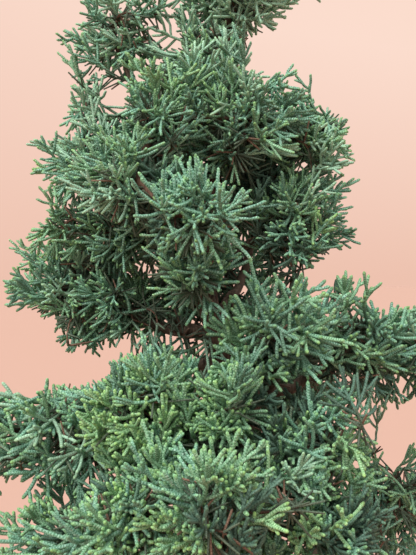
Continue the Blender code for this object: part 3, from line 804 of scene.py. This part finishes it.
def shoot_mesh(rows, sides=4):
    """Turns shoots into blunt prisms whose corners swell ring by ring, as
    overlapping pairs of scale leaves do.  Returns verts, tris, corner UVs."""
    verts, tris, uvs, base = [], [], [], 0
    for n in np.unique(rows[:, 13].astype(int)):
        sel = rows[rows[:, 13].astype(int) == n]
        a, b, c = sel[:, 0:3], sel[:, 3:6], sel[:, 6:9]
        r0, r1, tile, twist = sel[:, 9], sel[:, 10], sel[:, 11], sel[:, 12]
        m = len(sel)
        length = (np.linalg.norm(b - a, axis=1) + np.linalg.norm(c - b, axis=1))
        # rings: evenly up to just short of the end, then one that rounds it
        last = 1 - np.clip(0.8 * r1 / length, 0.02, 0.35)
        t = np.concatenate([np.linspace(0, 1, n + 1)[None] * last[:, None],
                            np.ones((m, 1))], 1)
        rings = n + 2
        tt = t[..., None]
        mid = ((1 - tt) ** 2 * a[:, None] + 2 * tt * (1 - tt) * b[:, None]
               + tt ** 2 * c[:, None])
        tang = unit(2 * (1 - tt) * (b - a)[:, None] + 2 * tt * (c - b)[:, None])
        chord = unit(c - a)
        ref = np.where(np.abs(chord[:, 2:3]) < 0.9, UP[None],
                       np.array([[1.0, 0, 0]]))
        ref = rot(unit(np.cross(chord, ref)), chord, twist)
        nor = unit(ref[:, None] - tang * np.sum(ref[:, None] * tang, -1,
                                                keepdims=True))
        bi = np.cross(tang, nor)
        rad = r0[:, None] * (1 - t) + r1[:, None] * t
        shape = np.ones(rings)
        shape[0], shape[-1] = 0.86, 0.64
        rad = rad * shape
        # every other ring is turned by half a side, as each pair of scale
        # leaves sits across the pair below it
        ang = ((np.arange(sides)[None] + 0.5 * (np.arange(rings) % 2)[:, None])
               * 2 * math.pi / sides)
        ring = (np.cos(ang)[None, ..., None] * nor[:, :, None]
                + np.sin(ang)[None, ..., None] * bi[:, :, None])
        pts = mid[:, :, None] + ring * rad[:, :, None, None]
        tip = c + tang[:, -1] * (r1 * 0.50)[:, None]
        block = np.concatenate([pts.reshape(m, rings * sides, 3),
                                tip[:, None]], 1)
        per = rings * sides + 1
        f, w = [], []                    # w: side round the shoot, ring along
        for i in range(rings - 1):
            lo, hi = 0.5 * (i % 2), 0.5 * ((i + 1) % 2)
            for s in range(sides):
                s1 = (s + 1) % sides
                a0, a1 = (i * sides + s, s + lo, i), (i * sides + s1,
                                                      s + 1 + lo, i)
                b0, b1 = ((i + 1) * sides + s, s + hi, i + 1), (
                    (i + 1) * sides + s1, s + 1 + hi, i + 1)
                for tr in (((a0, a1, b0), (a1, b1, b0)) if i % 2 == 0 else
                           ((a0, b1, b0), (a0, a1, b1))):
                    f.append([q[0] for q in tr])
                    w.append([q[1:] for q in tr])
        lo = 0.5 * ((rings - 1) % 2)
        for s in range(sides):
            f.append([(rings - 1) * sides + s,
                      (rings - 1) * sides + (s + 1) % sides, rings * sides])
            w.append([(s + lo, rings - 1), (s + 1 + lo, rings - 1),
                      (s + 0.5 + lo, rings)])
        f, w = np.array(f), np.array(w, float)
        tris.append((f[None] + base + (np.arange(m) * per)[:, None, None])
                    .reshape(-1, 3))
        far = np.concatenate([(1 - t) * length[:, None] + 0.50 * r1[:, None],
                              np.zeros((m, 1))], 1)      # from the tip, mm
        v = 1 - np.minimum(far / SHOOT_SPAN, 1)
        v = v[:, w[:, :, 1].astype(int)]
        u = (tile[:, None, None] + 0.03
             + w[None, :, :, 0] / (sides + 0.5) * 0.94) / TILES
        u = np.broadcast_to(u, v.shape)
        uvs.append(np.stack([u, v], -1).reshape(-1, 2))
        verts.append(block.reshape(-1, 3))
        base += m * per
    return np.vstack(verts), np.vstack(tris), np.vstack(uvs)


# ----------------------------------------------------------------- the growth
MOOD = {   # share of each kind of green by mass: blue, mid, deep, light, pale
    "": (0.42, 0.32, 0.17, 0.03, 0.06),
    "foliage_low_middle_left": (0.06, 0.26, 0.0, 0.68, 0.0),
    "foliage_near_front": (0.12, 0.42, 0.04, 0.42, 0.0),
    "foliage_bottom_front_left": (0.18, 0.42, 0.10, 0.30, 0.0),
    "foliage_bottom_left": (0.38, 0.36, 0.12, 0.08, 0.06),
    "foliage_low_middle": (0.08, 0.36, 0.0, 0.56, 0.0),
    "foliage_low_middle_right": (0.38, 0.40, 0.06, 0.16, 0.0),
    "foliage_bottom_front_right": (0.34, 0.38, 0.04, 0.24, 0.0),
    "foliage_bottom_right": (0.36, 0.28, 0.12, 0.04, 0.20),
    "foliage_low_left": (0.46, 0.26, 0.04, 0.04, 0.20),
    "foliage_low_left_far": (0.44, 0.22, 0.02, 0.02, 0.30),
    # deep green, a darker copy of the blue green, is dealt at random elsewhere; its large share here
    # in the core, inner and underside masses is painted shade
    "foliage_middle_core": (0.20, 0.30, 0.50, 0.0, 0.0),
    "foliage_left_inner": (0.18, 0.26, 0.36, 0.0, 0.20),
    "foliage_under_left": (0.18, 0.26, 0.36, 0.0, 0.20),
    "foliage_upper_middle_left": (0.40, 0.30, 0.12, 0.06, 0.12),
    "foliage_front_star": (0.62, 0.32, 0.06, 0.0, 0.0),
    "foliage_front_drop": (0.50, 0.34, 0.16, 0.0, 0.0),
    "foliage_right_star": (0.56, 0.34, 0.10, 0.0, 0.0),
    "foliage_apex": (0.10, 0.06, 0.0, 0.0, 0.84),
    "foliage_back_top": (0.10, 0.06, 0.0, 0.0, 0.84),
    "foliage_top_left": (0.14, 0.10, 0.0, 0.0, 0.76),
    "foliage_upper_neck": (0.22, 0.18, 0.04, 0.04, 0.52),
    "foliage_left_sprays": (0.28, 0.24, 0.06, 0.02, 0.40),
    "foliage_left_outer": (0.24, 0.20, 0.06, 0.02, 0.48),
    "foliage_left_front": (0.36, 0.28, 0.08, 0.04, 0.24),
}
HABIT_SHARES = {     # plume, star, fern, tuft
    "fine": (0.60, 0.32, 0.05, 0.03),
    "coarse": (0.24, 0.20, 0.40, 0.16),
    "foliage_front_star": (0.20, 0.80, 0.0, 0.0),
    "foliage_right_star": (0.15, 0.75, 0.10, 0.0),
    "foliage_right_outer": (0.35, 0.50, 0.15, 0.0),
    "foliage_low_middle_left": (0.05, 0.05, 0.10, 0.80),
    "foliage_low_middle": (0.10, 0.10, 0.20, 0.60),
    "foliage_near_front": (0.06, 0.06, 0.23, 0.65),
    "foliage_bottom_front_left": (0.10, 0.10, 0.35, 0.45),
    "foliage_bottom_front": (0.15, 0.12, 0.38, 0.35),
}
DENSE = {"foliage_low_middle_left": 0.80, "foliage_low_middle": 0.86}
UPRIGHT = {"foliage_low_middle_left": 0.30, "foliage_low_middle": 0.24,
           "foliage_near_front": 0.22}
HANGING = ("foliage_under_left", "foliage_left_inner", "foliage_lower_left")


def nearest_other(p, mass, masses, reach):
    """How far another mass is, and whether the point is inside one."""
    best = reach
    for other in masses:
        if other is mass or np.any(np.abs(p - other.centre)
                                   > other.size + reach):
            continue
        spot, normal, _, dist = other.tree.find_nearest(Vector(p), reach)
        if spot is None:
            continue
        if (Vector(p) - spot).dot(normal) < 0:
            return -dist
        best = min(best, dist)
    return best


def choose_tips(mass, masses, rng, taken, limb_xyz, limb_r, grain):
    """Where sprays end: spread over the mass, some short of its surface, and
    a few in the creases between it and its neighbours."""
    spots, normals, area = mass.surface_spots(rng, 3000)
    kept, kept_n = [], []
    for p, n in zip(spots, normals):
        near = (SPRAY_SPACING * grain ** 0.8 * (1.0 + 0.08 * n[1])
                * DENSE.get(mass.name, 1.0))
        if kept and np.min(np.linalg.norm(np.array(kept) - p, axis=1)) < near:
            continue
        gap = np.linalg.norm(limb_xyz - p, axis=1) - limb_r
        if gap.min() < 1.5 or (p - mass.centre) @ n < 0:
            continue
        if nearest_other(p, mass, masses, 4.0) < 2.0 and rng.random() < 0.72:
            continue
        if in_sky(p)[0]:
            continue
        kept.append(p)
        kept_n.append(n)
    for p, n in zip(spots[:1500], normals[:1500]):
        p = p + n * rng.uniform(3.5, 6.5)
        near = kept + taken
        if np.min(np.linalg.norm(np.array(near) - p, axis=1)) < 10.5 * grain:
            continue
        if not 0 < nearest_other(p, mass, masses, 8.0) < 7.0:
            continue
        if in_sky(p)[0]:
            continue
        kept.append(p)
        kept_n.append(n)
        taken.append(p)
    return np.array(kept), np.array(kept_n)


class Growth:
    """The twigs: a tree of points that always grows on from what is there."""

    def __init__(self):
        xyz, way, self.limb_r = limb_points()
        self.spots, self.ways = [*xyz], [*way]
        self.parents = [-1] * len(xyz)
        self.limb_count = len(xyz)
        self.paths = []

    def reach(self, rng, base, way):
        """Grows a twig to base, arriving along way; returns its new points."""
        xyz = np.array(self.spots)
        step = base - xyz
        dist = np.linalg.norm(step, axis=1)
        lean = np.sum(unit(step) * np.array(self.ways), axis=1)
        cost = dist * (1.35 - 0.35 * lean)
        cost[:self.limb_count] += 1.5
        # of the nearest, the one whose line to here crosses least open sky
        near = np.argpartition(cost, 14)[:14]
        b = np.linspace(0.15, 0.9, 6)[:, None]
        crossed = [np.sum(in_sky(xyz[i] + (base - xyz[i]) * b)) for i in near]
        pick = int(near[np.argmin(cost[near] + 5.0 * np.array(crossed))])
        if min(crossed) > 2 and dist[pick] > 14:
            return None, None
        d = dist[pick]
        start, sway = xyz[pick], self.ways[pick]
        steps = max(2, int(d / 3.5))
        b = np.linspace(0, 1, steps + 1)[1:, None]
        c1 = start + sway * d * 0.30
        c2 = base - way * d * 0.35
        line = ((1 - b) ** 3 * start + 3 * b * (1 - b) ** 2 * c1
                + 3 * b * b * (1 - b) * c2 + b ** 3 * base)
        line = line + rng.normal(0, 0.22, line.shape) * (1 - b)
        chain = [pick]
        for q in line:
            self.spots.append(q)
            self.ways.append(unit(q - self.spots[chain[-1]]))
            self.parents.append(chain[-1])
            chain.append(len(self.spots) - 1)
        self.paths.append(chain)
        return np.array(self.spots[-steps:]), np.array(self.ways[-steps:])


def fill_shade(rng, inner, here, along, each=5):
    """Short dark shoots all along a twig fill the crown within; their dark 'inner' leaf colour is
    painted shade.
    """
    count = each * len(here)
    at = rng.integers(0, len(here), count)
    d0 = unit(rng.normal(size=(count, 3)) + along[at] * 0.7)
    ln = rng.uniform(6.0, 11.0, count)[:, None]
    end = here[at] + d0 * ln + along[at] * ln * 0.2
    ok = ~in_sky(end)
    if ok.any():
        inner.add(rng, here[at][ok], (here[at] + d0 * ln * 0.5)[ok], end[ok],
                  0.86 * SHOOT_R, 0.86 * SHOOT_R, 99.0, 0)


def grow_all():
    nodes = frame["nodes"]
    masses = [Mass(n, nodes[n]) for n in sorted(nodes)
              if n.startswith("foliage_")]
    growth = Growth()
    limb_xyz = np.array(growth.spots)
    sprays = {(k, w): Shoots() for k in KINDS for w in ("fine", "coarse")}
    inner, shaded = Shoots(), Shoots()
    taken = [np.array([0.0, 0.0, -500.0])]
    for mi, mass in enumerate(masses):
        rng = np.random.default_rng(1000 + 17 * mi)
        grain = GRAIN.get(mass.name, 1.0)
        size = "coarse" if mass.name[8:].startswith(FRONT) else "fine"
        tips, normals = choose_tips(mass, masses, rng, taken, limb_xyz,
                                    growth.limb_r, grain)
        if not len(tips):
            continue
        mood = MOOD.get(mass.name, MOOD[""])
        lift = (-0.04 if mass.name in HANGING else
                UPRIGHT.get(mass.name, 0.12))
        plan = []
        for p, n in zip(tips, normals):
            outward = unit(p - mass.centre)
            axis, _ = trunk_at(np.clip(p[2] - 14, 120, 425))
            crown = unit(p - axis)
            way = unit(0.30 * outward + 0.42 * crown + 0.26 * n
                       + (0.04 + lift) * UP
                       + rng.normal(0, 0.22 if size == "fine" else 0.28, 3))
            far = np.linalg.norm(p - mass.centre)
            inset = 7.5 * rng.random() ** 0.8 - 0.5
            if far > 1.12 * np.mean(mass.size):
                inset *= 0.25
            p = p - outward * inset
            far = np.linalg.norm(p - mass.centre)
            length = min(rng.uniform(*SPRAY_LENGTH), max(far * 0.95, 11.0))
            base = p - way * length
            if in_sky(base)[0] or in_sky(p)[0]:
                continue
            plan.append((base, way, length))
        plan.sort(key=lambda s: np.linalg.norm(s[0] - mass.centre))
        for base, way, length in plan:
            tip = base + way * length
            if in_hollow(tip)[0]:
                # a spray ending in a hollow is set back 5 mm and grown in the darker 'shaded'
                # colour: real depth plus painted shade
                base = base - way * 5.0
                here, along = growth.reach(rng, base, way)
                if here is None:
                    continue
                grow_spray(rng, shaded, base, way, length, lift, "plume", 0.9,
                           pitch=4.0, shaded=True)
                fill_shade(rng, inner, here, along, 4)
                continue
            thin = in_sky(tip, LACE)[0]
            if thin and rng.random() < 0.12:
                continue
            here, along = growth.reach(rng, base, way)
            if here is None:
                continue
            kind = KINDS[rng.choice(5, p=mood)]
            habit = rng.choice(("plume", "star", "fern", "tuft"),
                               p=HABIT_SHARES.get(mass.name,
                                                  HABIT_SHARES[size]))
            grow_spray(rng, sprays[kind, size], base, way, length, lift,
                       habit, 0.8 if thin else 1.0,
                       grain * rng.uniform(0.94, 1.06), RING_PITCH[size])
            fill_shade(rng, inner, here, along, 2 if thin else 5)
    rng = np.random.default_rng(4242)
    for start, end, count, way, lengths, leafy in FRINGES:
        start, end = np.array(start, float), np.array(end, float)
        for i in range(count):
            base = (start + (end - start) * (i + rng.random()) / count
                    + rng.normal(0, 1, 3) * (1.0, 7.0, 2.5))
            lean = unit(np.array(way) + rng.normal(0, 0.28, 3))
            length = rng.uniform(*lengths)
            if in_sky(base + lean * length)[0] or in_sky(base)[0]:
                continue
            here, along = growth.reach(rng, base, lean)
            if here is None:
                continue
            kind = KINDS[rng.choice(5, p=(0.30, 0.28, 0.20, 0.0, 0.22))]
            grow_spray(rng, sprays[kind, "fine"], base, lean, length, 0.0,
                       "plume", leafy, pitch=RING_PITCH["fine"])
            fill_shade(rng, inner, here, along, 2)
    spots, parents, paths = growth.spots, growth.parents, growth.paths
    limb_count = growth.limb_count
    # a twig is as thick as what it carries
    load = np.zeros(len(spots))
    for chain in paths:
        load[chain[-1]] += 1
    for i in range(len(spots) - 1, limb_count - 1, -1):
        load[parents[i]] += load[i]
    spots = np.array(spots)
    radius = 0.40 * np.maximum(load, 1) ** 0.35
    all_v, all_f, base = [], [], 0
    for chain in paths:
        line = spots[chain]
        r = radius[chain].copy()
        r[0] = min(r[0], r[1] * 1.25)
        tang, nor, bi = frames_along(line)
        ang = np.arange(5) * 2 * math.pi / 5
        ring = (np.cos(ang)[None, :, None] * nor[:, None]
                + np.sin(ang)[None, :, None] * bi[:, None])
        bumpy = 1 + 0.12 * np.sin(np.arange(len(line)) * 2.4)[:, None]
        v = (line[:, None] + ring * (r[:, None] * bumpy)[..., None])
        all_v.append(v.reshape(-1, 3))
        all_f.append(split_quads(grid_faces(len(line), 5)) + base)
        base += len(line) * 5
    twigs = (np.vstack(all_v), np.vstack(all_f))
    return sprays, shaded, inner, twigs, masses, len(paths)


# ------------------------------------------------------------- pot and soil
POT_LENGTH, POT_WIDTH, POT_HEIGHT = 206.0, 154.0, 62.0
POT_LIP, POT_LIP_HEIGHT, POT_TAPER = 5.0, 10.0, 10.0
POT_WALL, POT_FLOOR = 6.5, 9.0
POT_FOOT_INSET, POT_FOOT_HEIGHT = 7.0, 6.0
POT_CORNER = 24.0
SOIL_EDGE_Z = 55.0
SOIL_FLAT_R = 24.0


def wall_size(z, inside=0.0):
    lean = POT_TAPER * (1.0 - z / POT_HEIGHT)
    return (POT_LENGTH - 2 * (POT_LIP + lean + inside),
            POT_WIDTH - 2 * (POT_LIP + lean + inside))


def rounded_loop(size, corner, z, arc=14, flat=16):
    """Points round a rectangle with rounded corners, seen from above."""
    hx, hy = size[0] / 2 - corner, size[1] / 2 - corner
    pts = []
    for sx, sy, a0 in ((1, 1, 0), (-1, 1, 90), (-1, -1, 180), (1, -1, 270)):
        for k in range(arc + 1):
            a = math.radians(a0 + 90 * k / arc)
            pts.append((sx * hx + corner * math.cos(a),
                        sy * hy + corner * math.sin(a)))
        nx, ny, _ = {0: (-1, 1, 0), 90: (-1, -1, 0), 180: (1, -1, 0),
                     270: (1, 1, 0)}[a0]
        a = math.radians(a0 + 90)
        end = np.array([nx * hx + corner * math.cos(a),
                        ny * hy + corner * math.sin(a)])
        last = np.array(pts[-1])
        for k in range(1, flat):
            pts.append(tuple(last + (end - last) * k / flat))
    pts = np.array(pts)
    return np.column_stack([pts, np.full(len(pts), z)])


def make_pot(mat):
    rim = (POT_LENGTH, POT_WIDTH)

    def less(size, d):
        return (size[0] - 2 * d, size[1] - 2 * d)

    z1 = POT_HEIGHT - POT_LIP_HEIGHT
    prof = [
        (less(wall_size(0, POT_FOOT_INSET), 1.2), 18.0, 0.0),
        (less(wall_size(0, POT_FOOT_INSET), 0.3), 18.8, 0.35),
        (wall_size(0, POT_FOOT_INSET - 0.2), 19.0, 1.4),
        (wall_size(0, POT_FOOT_INSET - 1.1), 19.0, POT_FOOT_HEIGHT - 0.5),
        (wall_size(POT_FOOT_HEIGHT, 1.6), 22.4, POT_FOOT_HEIGHT),
        (wall_size(POT_FOOT_HEIGHT, 0.5), 23.5, POT_FOOT_HEIGHT + 0.35),
        (wall_size(POT_FOOT_HEIGHT + 1.4), 24.0, POT_FOOT_HEIGHT + 1.4),
    ]
    for k in range(1, 9):
        z = POT_FOOT_HEIGHT + 1.4 + (z1 - 2.4 - POT_FOOT_HEIGHT) * k / 8
        prof.append((wall_size(z), POT_CORNER, z))
    prof += [
        (less(rim, 3.6), 25.6, z1 - 0.2),
        (less(rim, 1.5), 27.2, z1 + 0.1),
        (less(rim, 0.6), 27.8, z1 + 1.0),
        (less(rim, 0.1), 28.0, z1 + 4.0),
        (rim, 28.0, POT_HEIGHT - 2.0),
        (less(rim, 0.45), 27.6, POT_HEIGHT - 0.8),
        (less(rim, 1.5), 26.8, POT_HEIGHT - 0.15),
        (less(rim, 3.0), 25.6, POT_HEIGHT),
        (wall_size(POT_HEIGHT, POT_WALL - 2.2), 19.8, POT_HEIGHT),
        (wall_size(POT_HEIGHT, POT_WALL - 0.6), 18.2, POT_HEIGHT - 0.4),
        (wall_size(POT_HEIGHT - 1.6, POT_WALL), 17.5, POT_HEIGHT - 1.6),
        (wall_size(40.0, POT_WALL), 17.5, 40.0),
        (wall_size(POT_FLOOR, POT_WALL), 17.5, POT_FLOOR),
    ]
    loops = [rounded_loop(*p) for p in prof]
    cols = len(loops[0])
    verts = np.vstack(loops)
    for i, v in enumerate(verts):
        if 1.0 < v[2] < POT_HEIGHT - 0.5 and i < cols * 20:
            wave = noise.noise(Vector((v[0] * 0.035, v[1] * 0.035,
                                       v[2] * 0.06)))
            verts[i, :2] *= 1 + 0.0016 * wave
    faces = grid_faces(len(loops), cols)
    caps = []
    for row, flip in ((0, True), (len(loops) - 1, False)):
        mid = len(verts)
        verts = np.vstack([verts, [[0, 0, verts[row * cols, 2]]]])
        for k in range(cols):
            a, b = row * cols + k, row * cols + (k + 1) % cols
            caps.append((b, a, mid, mid) if flip else (a, b, mid, mid))
    faces = np.vstack([faces, np.array(caps)])
    return mesh_from("pot_clay", verts, split_quads(faces), mat=mat,
                     slot="clay", replaces=["pot"])


def soil_level(xy):
    """Height of the soil: a low mound that rises to the trunk's foot."""
    foot = trunk_at(SOIL_TOP_Z)[0][:2]
    away = np.linalg.norm(xy - foot, axis=-1)
    way = (xy - foot) / np.maximum(away, 1e-6)[..., None]
    hx, hy = (s / 2 for s in wall_size(SOIL_EDGE_Z, POT_WALL + 0.5))
    tx = (np.sign(way[..., 0]) * hx - foot[0]) / np.where(
        np.abs(way[..., 0]) < 1e-6, 1e-6, way[..., 0])
    ty = (np.sign(way[..., 1]) * hy - foot[1]) / np.where(
        np.abs(way[..., 1]) < 1e-6, 1e-6, way[..., 1])
    edge = np.minimum(np.abs(tx), np.abs(ty))
    share = np.clip((edge - away) / np.maximum(edge - SOIL_FLAT_R, 1), 0, 1)
    return SOIL_EDGE_Z + (SOIL_TOP_Z - SOIL_EDGE_Z) * (1 - (1 - share) ** 1.7)


def make_soil(mat, grain_mat):
    inside = POT_WALL + 0.35
    rows, loops = 34, []
    size, corner = wall_size(SOIL_EDGE_Z, inside), POT_CORNER - inside
    edge = rounded_loop(size, corner, 0.0)
    foot = trunk_at(SOIL_TOP_Z)[0]
    loops.append(rounded_loop(wall_size(POT_FLOOR + 0.4, inside), corner,
                              POT_FLOOR + 0.4))
    loops.append(rounded_loop(wall_size(50.0, inside), corner, 50.0))
    for i in range(rows):
        k = i / rows
        xy = edge[:, :2] * (1 - k) + foot[:2] * k
        z = soil_level(xy)
        bump = np.array([noise.noise(Vector((x * 0.35, y * 0.35, 3.0))) * 0.8
                         + noise.noise(Vector((x * 0.08, y * 0.08, 9.0))) * 1.1
                         for x, y in xy])
        loops.append(np.column_stack([xy, z - 0.8 + bump
                                      * min(1.0, 0.3 + k * 6)]))
    cols = len(edge)
    verts = np.vstack(loops + [np.array([[foot[0], foot[1],
                                          SOIL_TOP_Z - 0.8]])])
    faces = grid_faces(len(loops), cols)
    tip, row = len(verts) - 1, (len(loops) - 1) * cols
    caps = [(row + k, row + (k + 1) % cols, tip, tip) for k in range(cols)]
    low = [((k + 1) % cols, k, 0, 0) for k in range(cols)]
    faces = np.vstack([faces, np.array(caps)])
    soil = mesh_from("soil_ground", verts, split_quads(faces), mat=mat,
                     slot="soil", replaces=["soil"])
    # baked-clay grains, and a few bigger ones, lie all over it
    rng = np.random.default_rng(77)
    bm = bmesh.new()
    bmesh.ops.create_icosphere(bm, subdivisions=1, radius=1.0)
    ball = np.array([v.co[:] for v in bm.verts])
    tri = np.array([[v.index for v in f.verts] for f in bm.faces])
    bm.free()
    all_v, all_f, all_uv, base = [], [], [], 0
    hx, hy = size[0] / 2 - 2.2, size[1] / 2 - 2.2
    placed = 0
    while placed < 1500:
        x, y = rng.uniform(-hx, hx), rng.uniform(-hy, hy)
        dx, dy = max(abs(x) - hx + 15, 0), max(abs(y) - hy + 15, 0)
        if dx * dx + dy * dy > 15 ** 2:
            continue
        if math.hypot(x - foot[0], y - foot[1]) < 12:
            continue
        r = rng.uniform(0.8, 1.9) * (1.35 if rng.random() < 0.08 else 1.0)
        z = float(soil_level(np.array([[x, y]]))[0])
        shape = ball * (1 + rng.normal(0, 0.13, (len(ball), 1)))
        shape = shape * (rng.uniform(0.75, 1.15, 3) * r)
        a = rng.random() * 6.28
        c, s_ = math.cos(a), math.sin(a)
        turned = np.column_stack([shape[:, 0] * c - shape[:, 1] * s_,
                                  shape[:, 0] * s_ + shape[:, 1] * c,
                                  shape[:, 2]])
        all_v.append(turned + [x, y, z - 0.5 + rng.uniform(-0.5, 0.6)])
        all_f.append(tri + base)
        tile = rng.integers(0, TILES)
        all_uv.append(np.tile([(tile + 0.5) / TILES, rng.random()],
                              (tri.size, 1)))
        base += len(ball)
        placed += 1
    mesh_from("soil_grains", np.vstack(all_v), np.vstack(all_f),
              uvs=np.vstack(all_uv), mat=grain_mat, smooth=False, slot="soil")
    return soil


def clay_material():
    t = Tree("clay_unglazed", roughness=0.62, specular=0.35)
    obj = t.add("ShaderNodeTexCoord").outputs["Object"]
    cloud = t.noise(obj, 16.0, 4.0)
    grain = t.noise(obj, 900.0, 3.0)
    sand = t.noise(obj, 2600.0, 2.0)
    col = t.mix(t.ramp(cloud, 0.35, 0.66), (0.125, 0.064, 0.040),
                (0.190, 0.104, 0.066))
    col = t.mix(t.math("MULTIPLY", t.ramp(grain, 0.58, 0.70), 0.5), col,
                (0.270, 0.175, 0.120))
    t.colour(col)
    t.rough(t.math("ADD", 0.52, t.math("MULTIPLY", cloud, 0.25)))
    t.bump(t.math("ADD", grain, t.math("MULTIPLY", sand, 0.5)), 0.35, 0.0004)
    return t.mat


def soil_material():
    t = Tree("soil_fine", roughness=0.95, specular=0.12)
    obj = t.add("ShaderNodeTexCoord").outputs["Object"]
    crumb = t.noise(obj, 420.0, 5.0, 0.65)
    cloud = t.noise(obj, 40.0, 3.0)
    col = t.mix(t.ramp(crumb, 0.38, 0.64), (0.022, 0.015, 0.011),
                (0.095, 0.066, 0.046))
    col = t.mix(t.math("MULTIPLY", t.ramp(cloud, 0.45, 0.7), 0.4), col,
                (0.060, 0.052, 0.028))
    t.colour(col)
    t.rough(t.math("ADD", 0.86, t.math("MULTIPLY", crumb, 0.12)))
    t.bump(crumb, 0.9, 0.0012)
    return t.mat


def grain_material():
    t = Tree("soil_grain", roughness=0.92, specular=0.15)
    uv = t.add("ShaderNodeTexCoord").outputs["UV"]
    obj = t.add("ShaderNodeTexCoord").outputs["Object"]
    rand = t.add("ShaderNodeTexWhiteNoise", noise_dimensions="3D")
    t.put(rand.inputs["Vector"], uv)
    pit = t.noise(obj, 1500.0, 3.0)
    col = t.mix(rand.outputs["Value"], (0.055, 0.035, 0.024),
                (0.230, 0.145, 0.088))
    col = t.mix(t.math("MULTIPLY", pit, 0.4), col, (0.030, 0.021, 0.016))
    t.colour(col)
    t.rough(t.math("ADD", 0.82, t.math("MULTIPLY", pit, 0.15)))
    t.bump(pit, 0.6, 0.0006)
    return t.mat


# ------------------------------------------------------------------ assembly
add_camera()
add_stage()

BARK = wood_material("bark_trunk", (0.036, 0.020, 0.014), (0.098, 0.054, 0.036),
                     (0.215, 0.145, 0.105))
BARK_BOUGH = wood_material("bark_bough", (0.036, 0.023, 0.017),
                           (0.100, 0.068, 0.047), (0.220, 0.165, 0.125), 1.4)
TWIG = wood_material("bark_twig", (0.040, 0.022, 0.015), (0.120, 0.062, 0.040),
                     (0.210, 0.135, 0.095), 2.0, 0.5)
GREENS = {
    "blue": foliage_material("leaf_blue_green", (0.022, 0.062, 0.040),
                             (0.132, 0.312, 0.212), (0.580, 0.780, 0.660),
                             (0.215, 0.420, 0.125), 0.50),
    "mid": foliage_material("leaf_mid_green", (0.024, 0.062, 0.034),
                            (0.150, 0.325, 0.182), (0.580, 0.770, 0.570),
                            (0.240, 0.430, 0.115), 0.52),
    "deep": foliage_material("leaf_deep_green", (0.016, 0.042, 0.027),
                             (0.092, 0.212, 0.142), (0.420, 0.600, 0.490),
                             (0.150, 0.300, 0.105), 0.45),
    "light": foliage_material("leaf_light_green", (0.036, 0.084, 0.038),
                              (0.201, 0.400, 0.193), (0.645, 0.816, 0.557),
                              (0.290, 0.491, 0.129), 0.55),
    "pale": foliage_material("leaf_pale_green", (0.088, 0.150, 0.100),
                             (0.255, 0.440, 0.305), (0.620, 0.800, 0.670),
                             (0.320, 0.500, 0.230), 0.35, 0.40),
    # 'shaded': a darker copy of the leaf colours, painted shade for the sprays in the hollows
    "shaded": foliage_material("leaf_deep_shade", (0.018, 0.038, 0.027),
                               (0.068, 0.138, 0.100), (0.230, 0.340, 0.270),
                               (0.095, 0.180, 0.085), 0.40, 0.35),
    # 'inner': a darker, greyer copy of the leaf colours, painted shade for shoots deep in the crown
    "inner": foliage_material("leaf_shaded", (0.022, 0.034, 0.024),
                              (0.074, 0.104, 0.068), (0.160, 0.200, 0.145),
                              (0.100, 0.135, 0.075), 0.40),
    "brown": foliage_material("leaf_dead", (0.055, 0.030, 0.020),
                              (0.160, 0.088, 0.056), (0.260, 0.180, 0.130),
                              (0.220, 0.140, 0.092), 0.50),
}

make_trunk(BARK)
make_boughs(BARK_BOUGH)
make_pot(clay_material())
make_soil(soil_material(), grain_material())
sprays, shaded, inner, twigs, masses, spray_count = grow_all()
mesh_from("twigs", *twigs, mat=TWIG, slot="bark")
names = [m.name for m in masses]
total = 0


def leaf_pieces(kind, rows, sides, tag=""):
    """Joins one kind's shoots into pieces; whole shoots are dealt in turn."""
    global total, names
    tris = int(np.sum((rows[:, 13] + 1) * 2 * sides + sides))
    parts = max(1, math.ceil(tris / PIECE_TRIS))
    for part in range(parts):
        v, f, uv = shoot_mesh(rows[part::parts], sides)
        obj = mesh_from(f"foliage_{kind}{tag}_{part + 1}", v, f, uvs=uv,
                        mat=GREENS[kind], slot="foliage", replaces=names)
        names = []
        total += len(f)
        print("piece", obj.name, len(f))


for (kind, size), shoots in sprays.items():
    rows = shoots.array()
    if len(rows):
        leaf_pieces(kind, rows, 4 if size == "coarse" else 3, f"_{size}")
leaf_pieces("shaded", shaded.array(), 3)
rows = inner.array()
dead = np.random.default_rng(5).random(len(rows)) < 0.12
leaf_pieces("inner", rows[~dead], 3)
leaf_pieces("brown", rows[dead], 3)
print("sprays", spray_count, "leaf triangles", total, "twig triangles",
      len(twigs[1]))
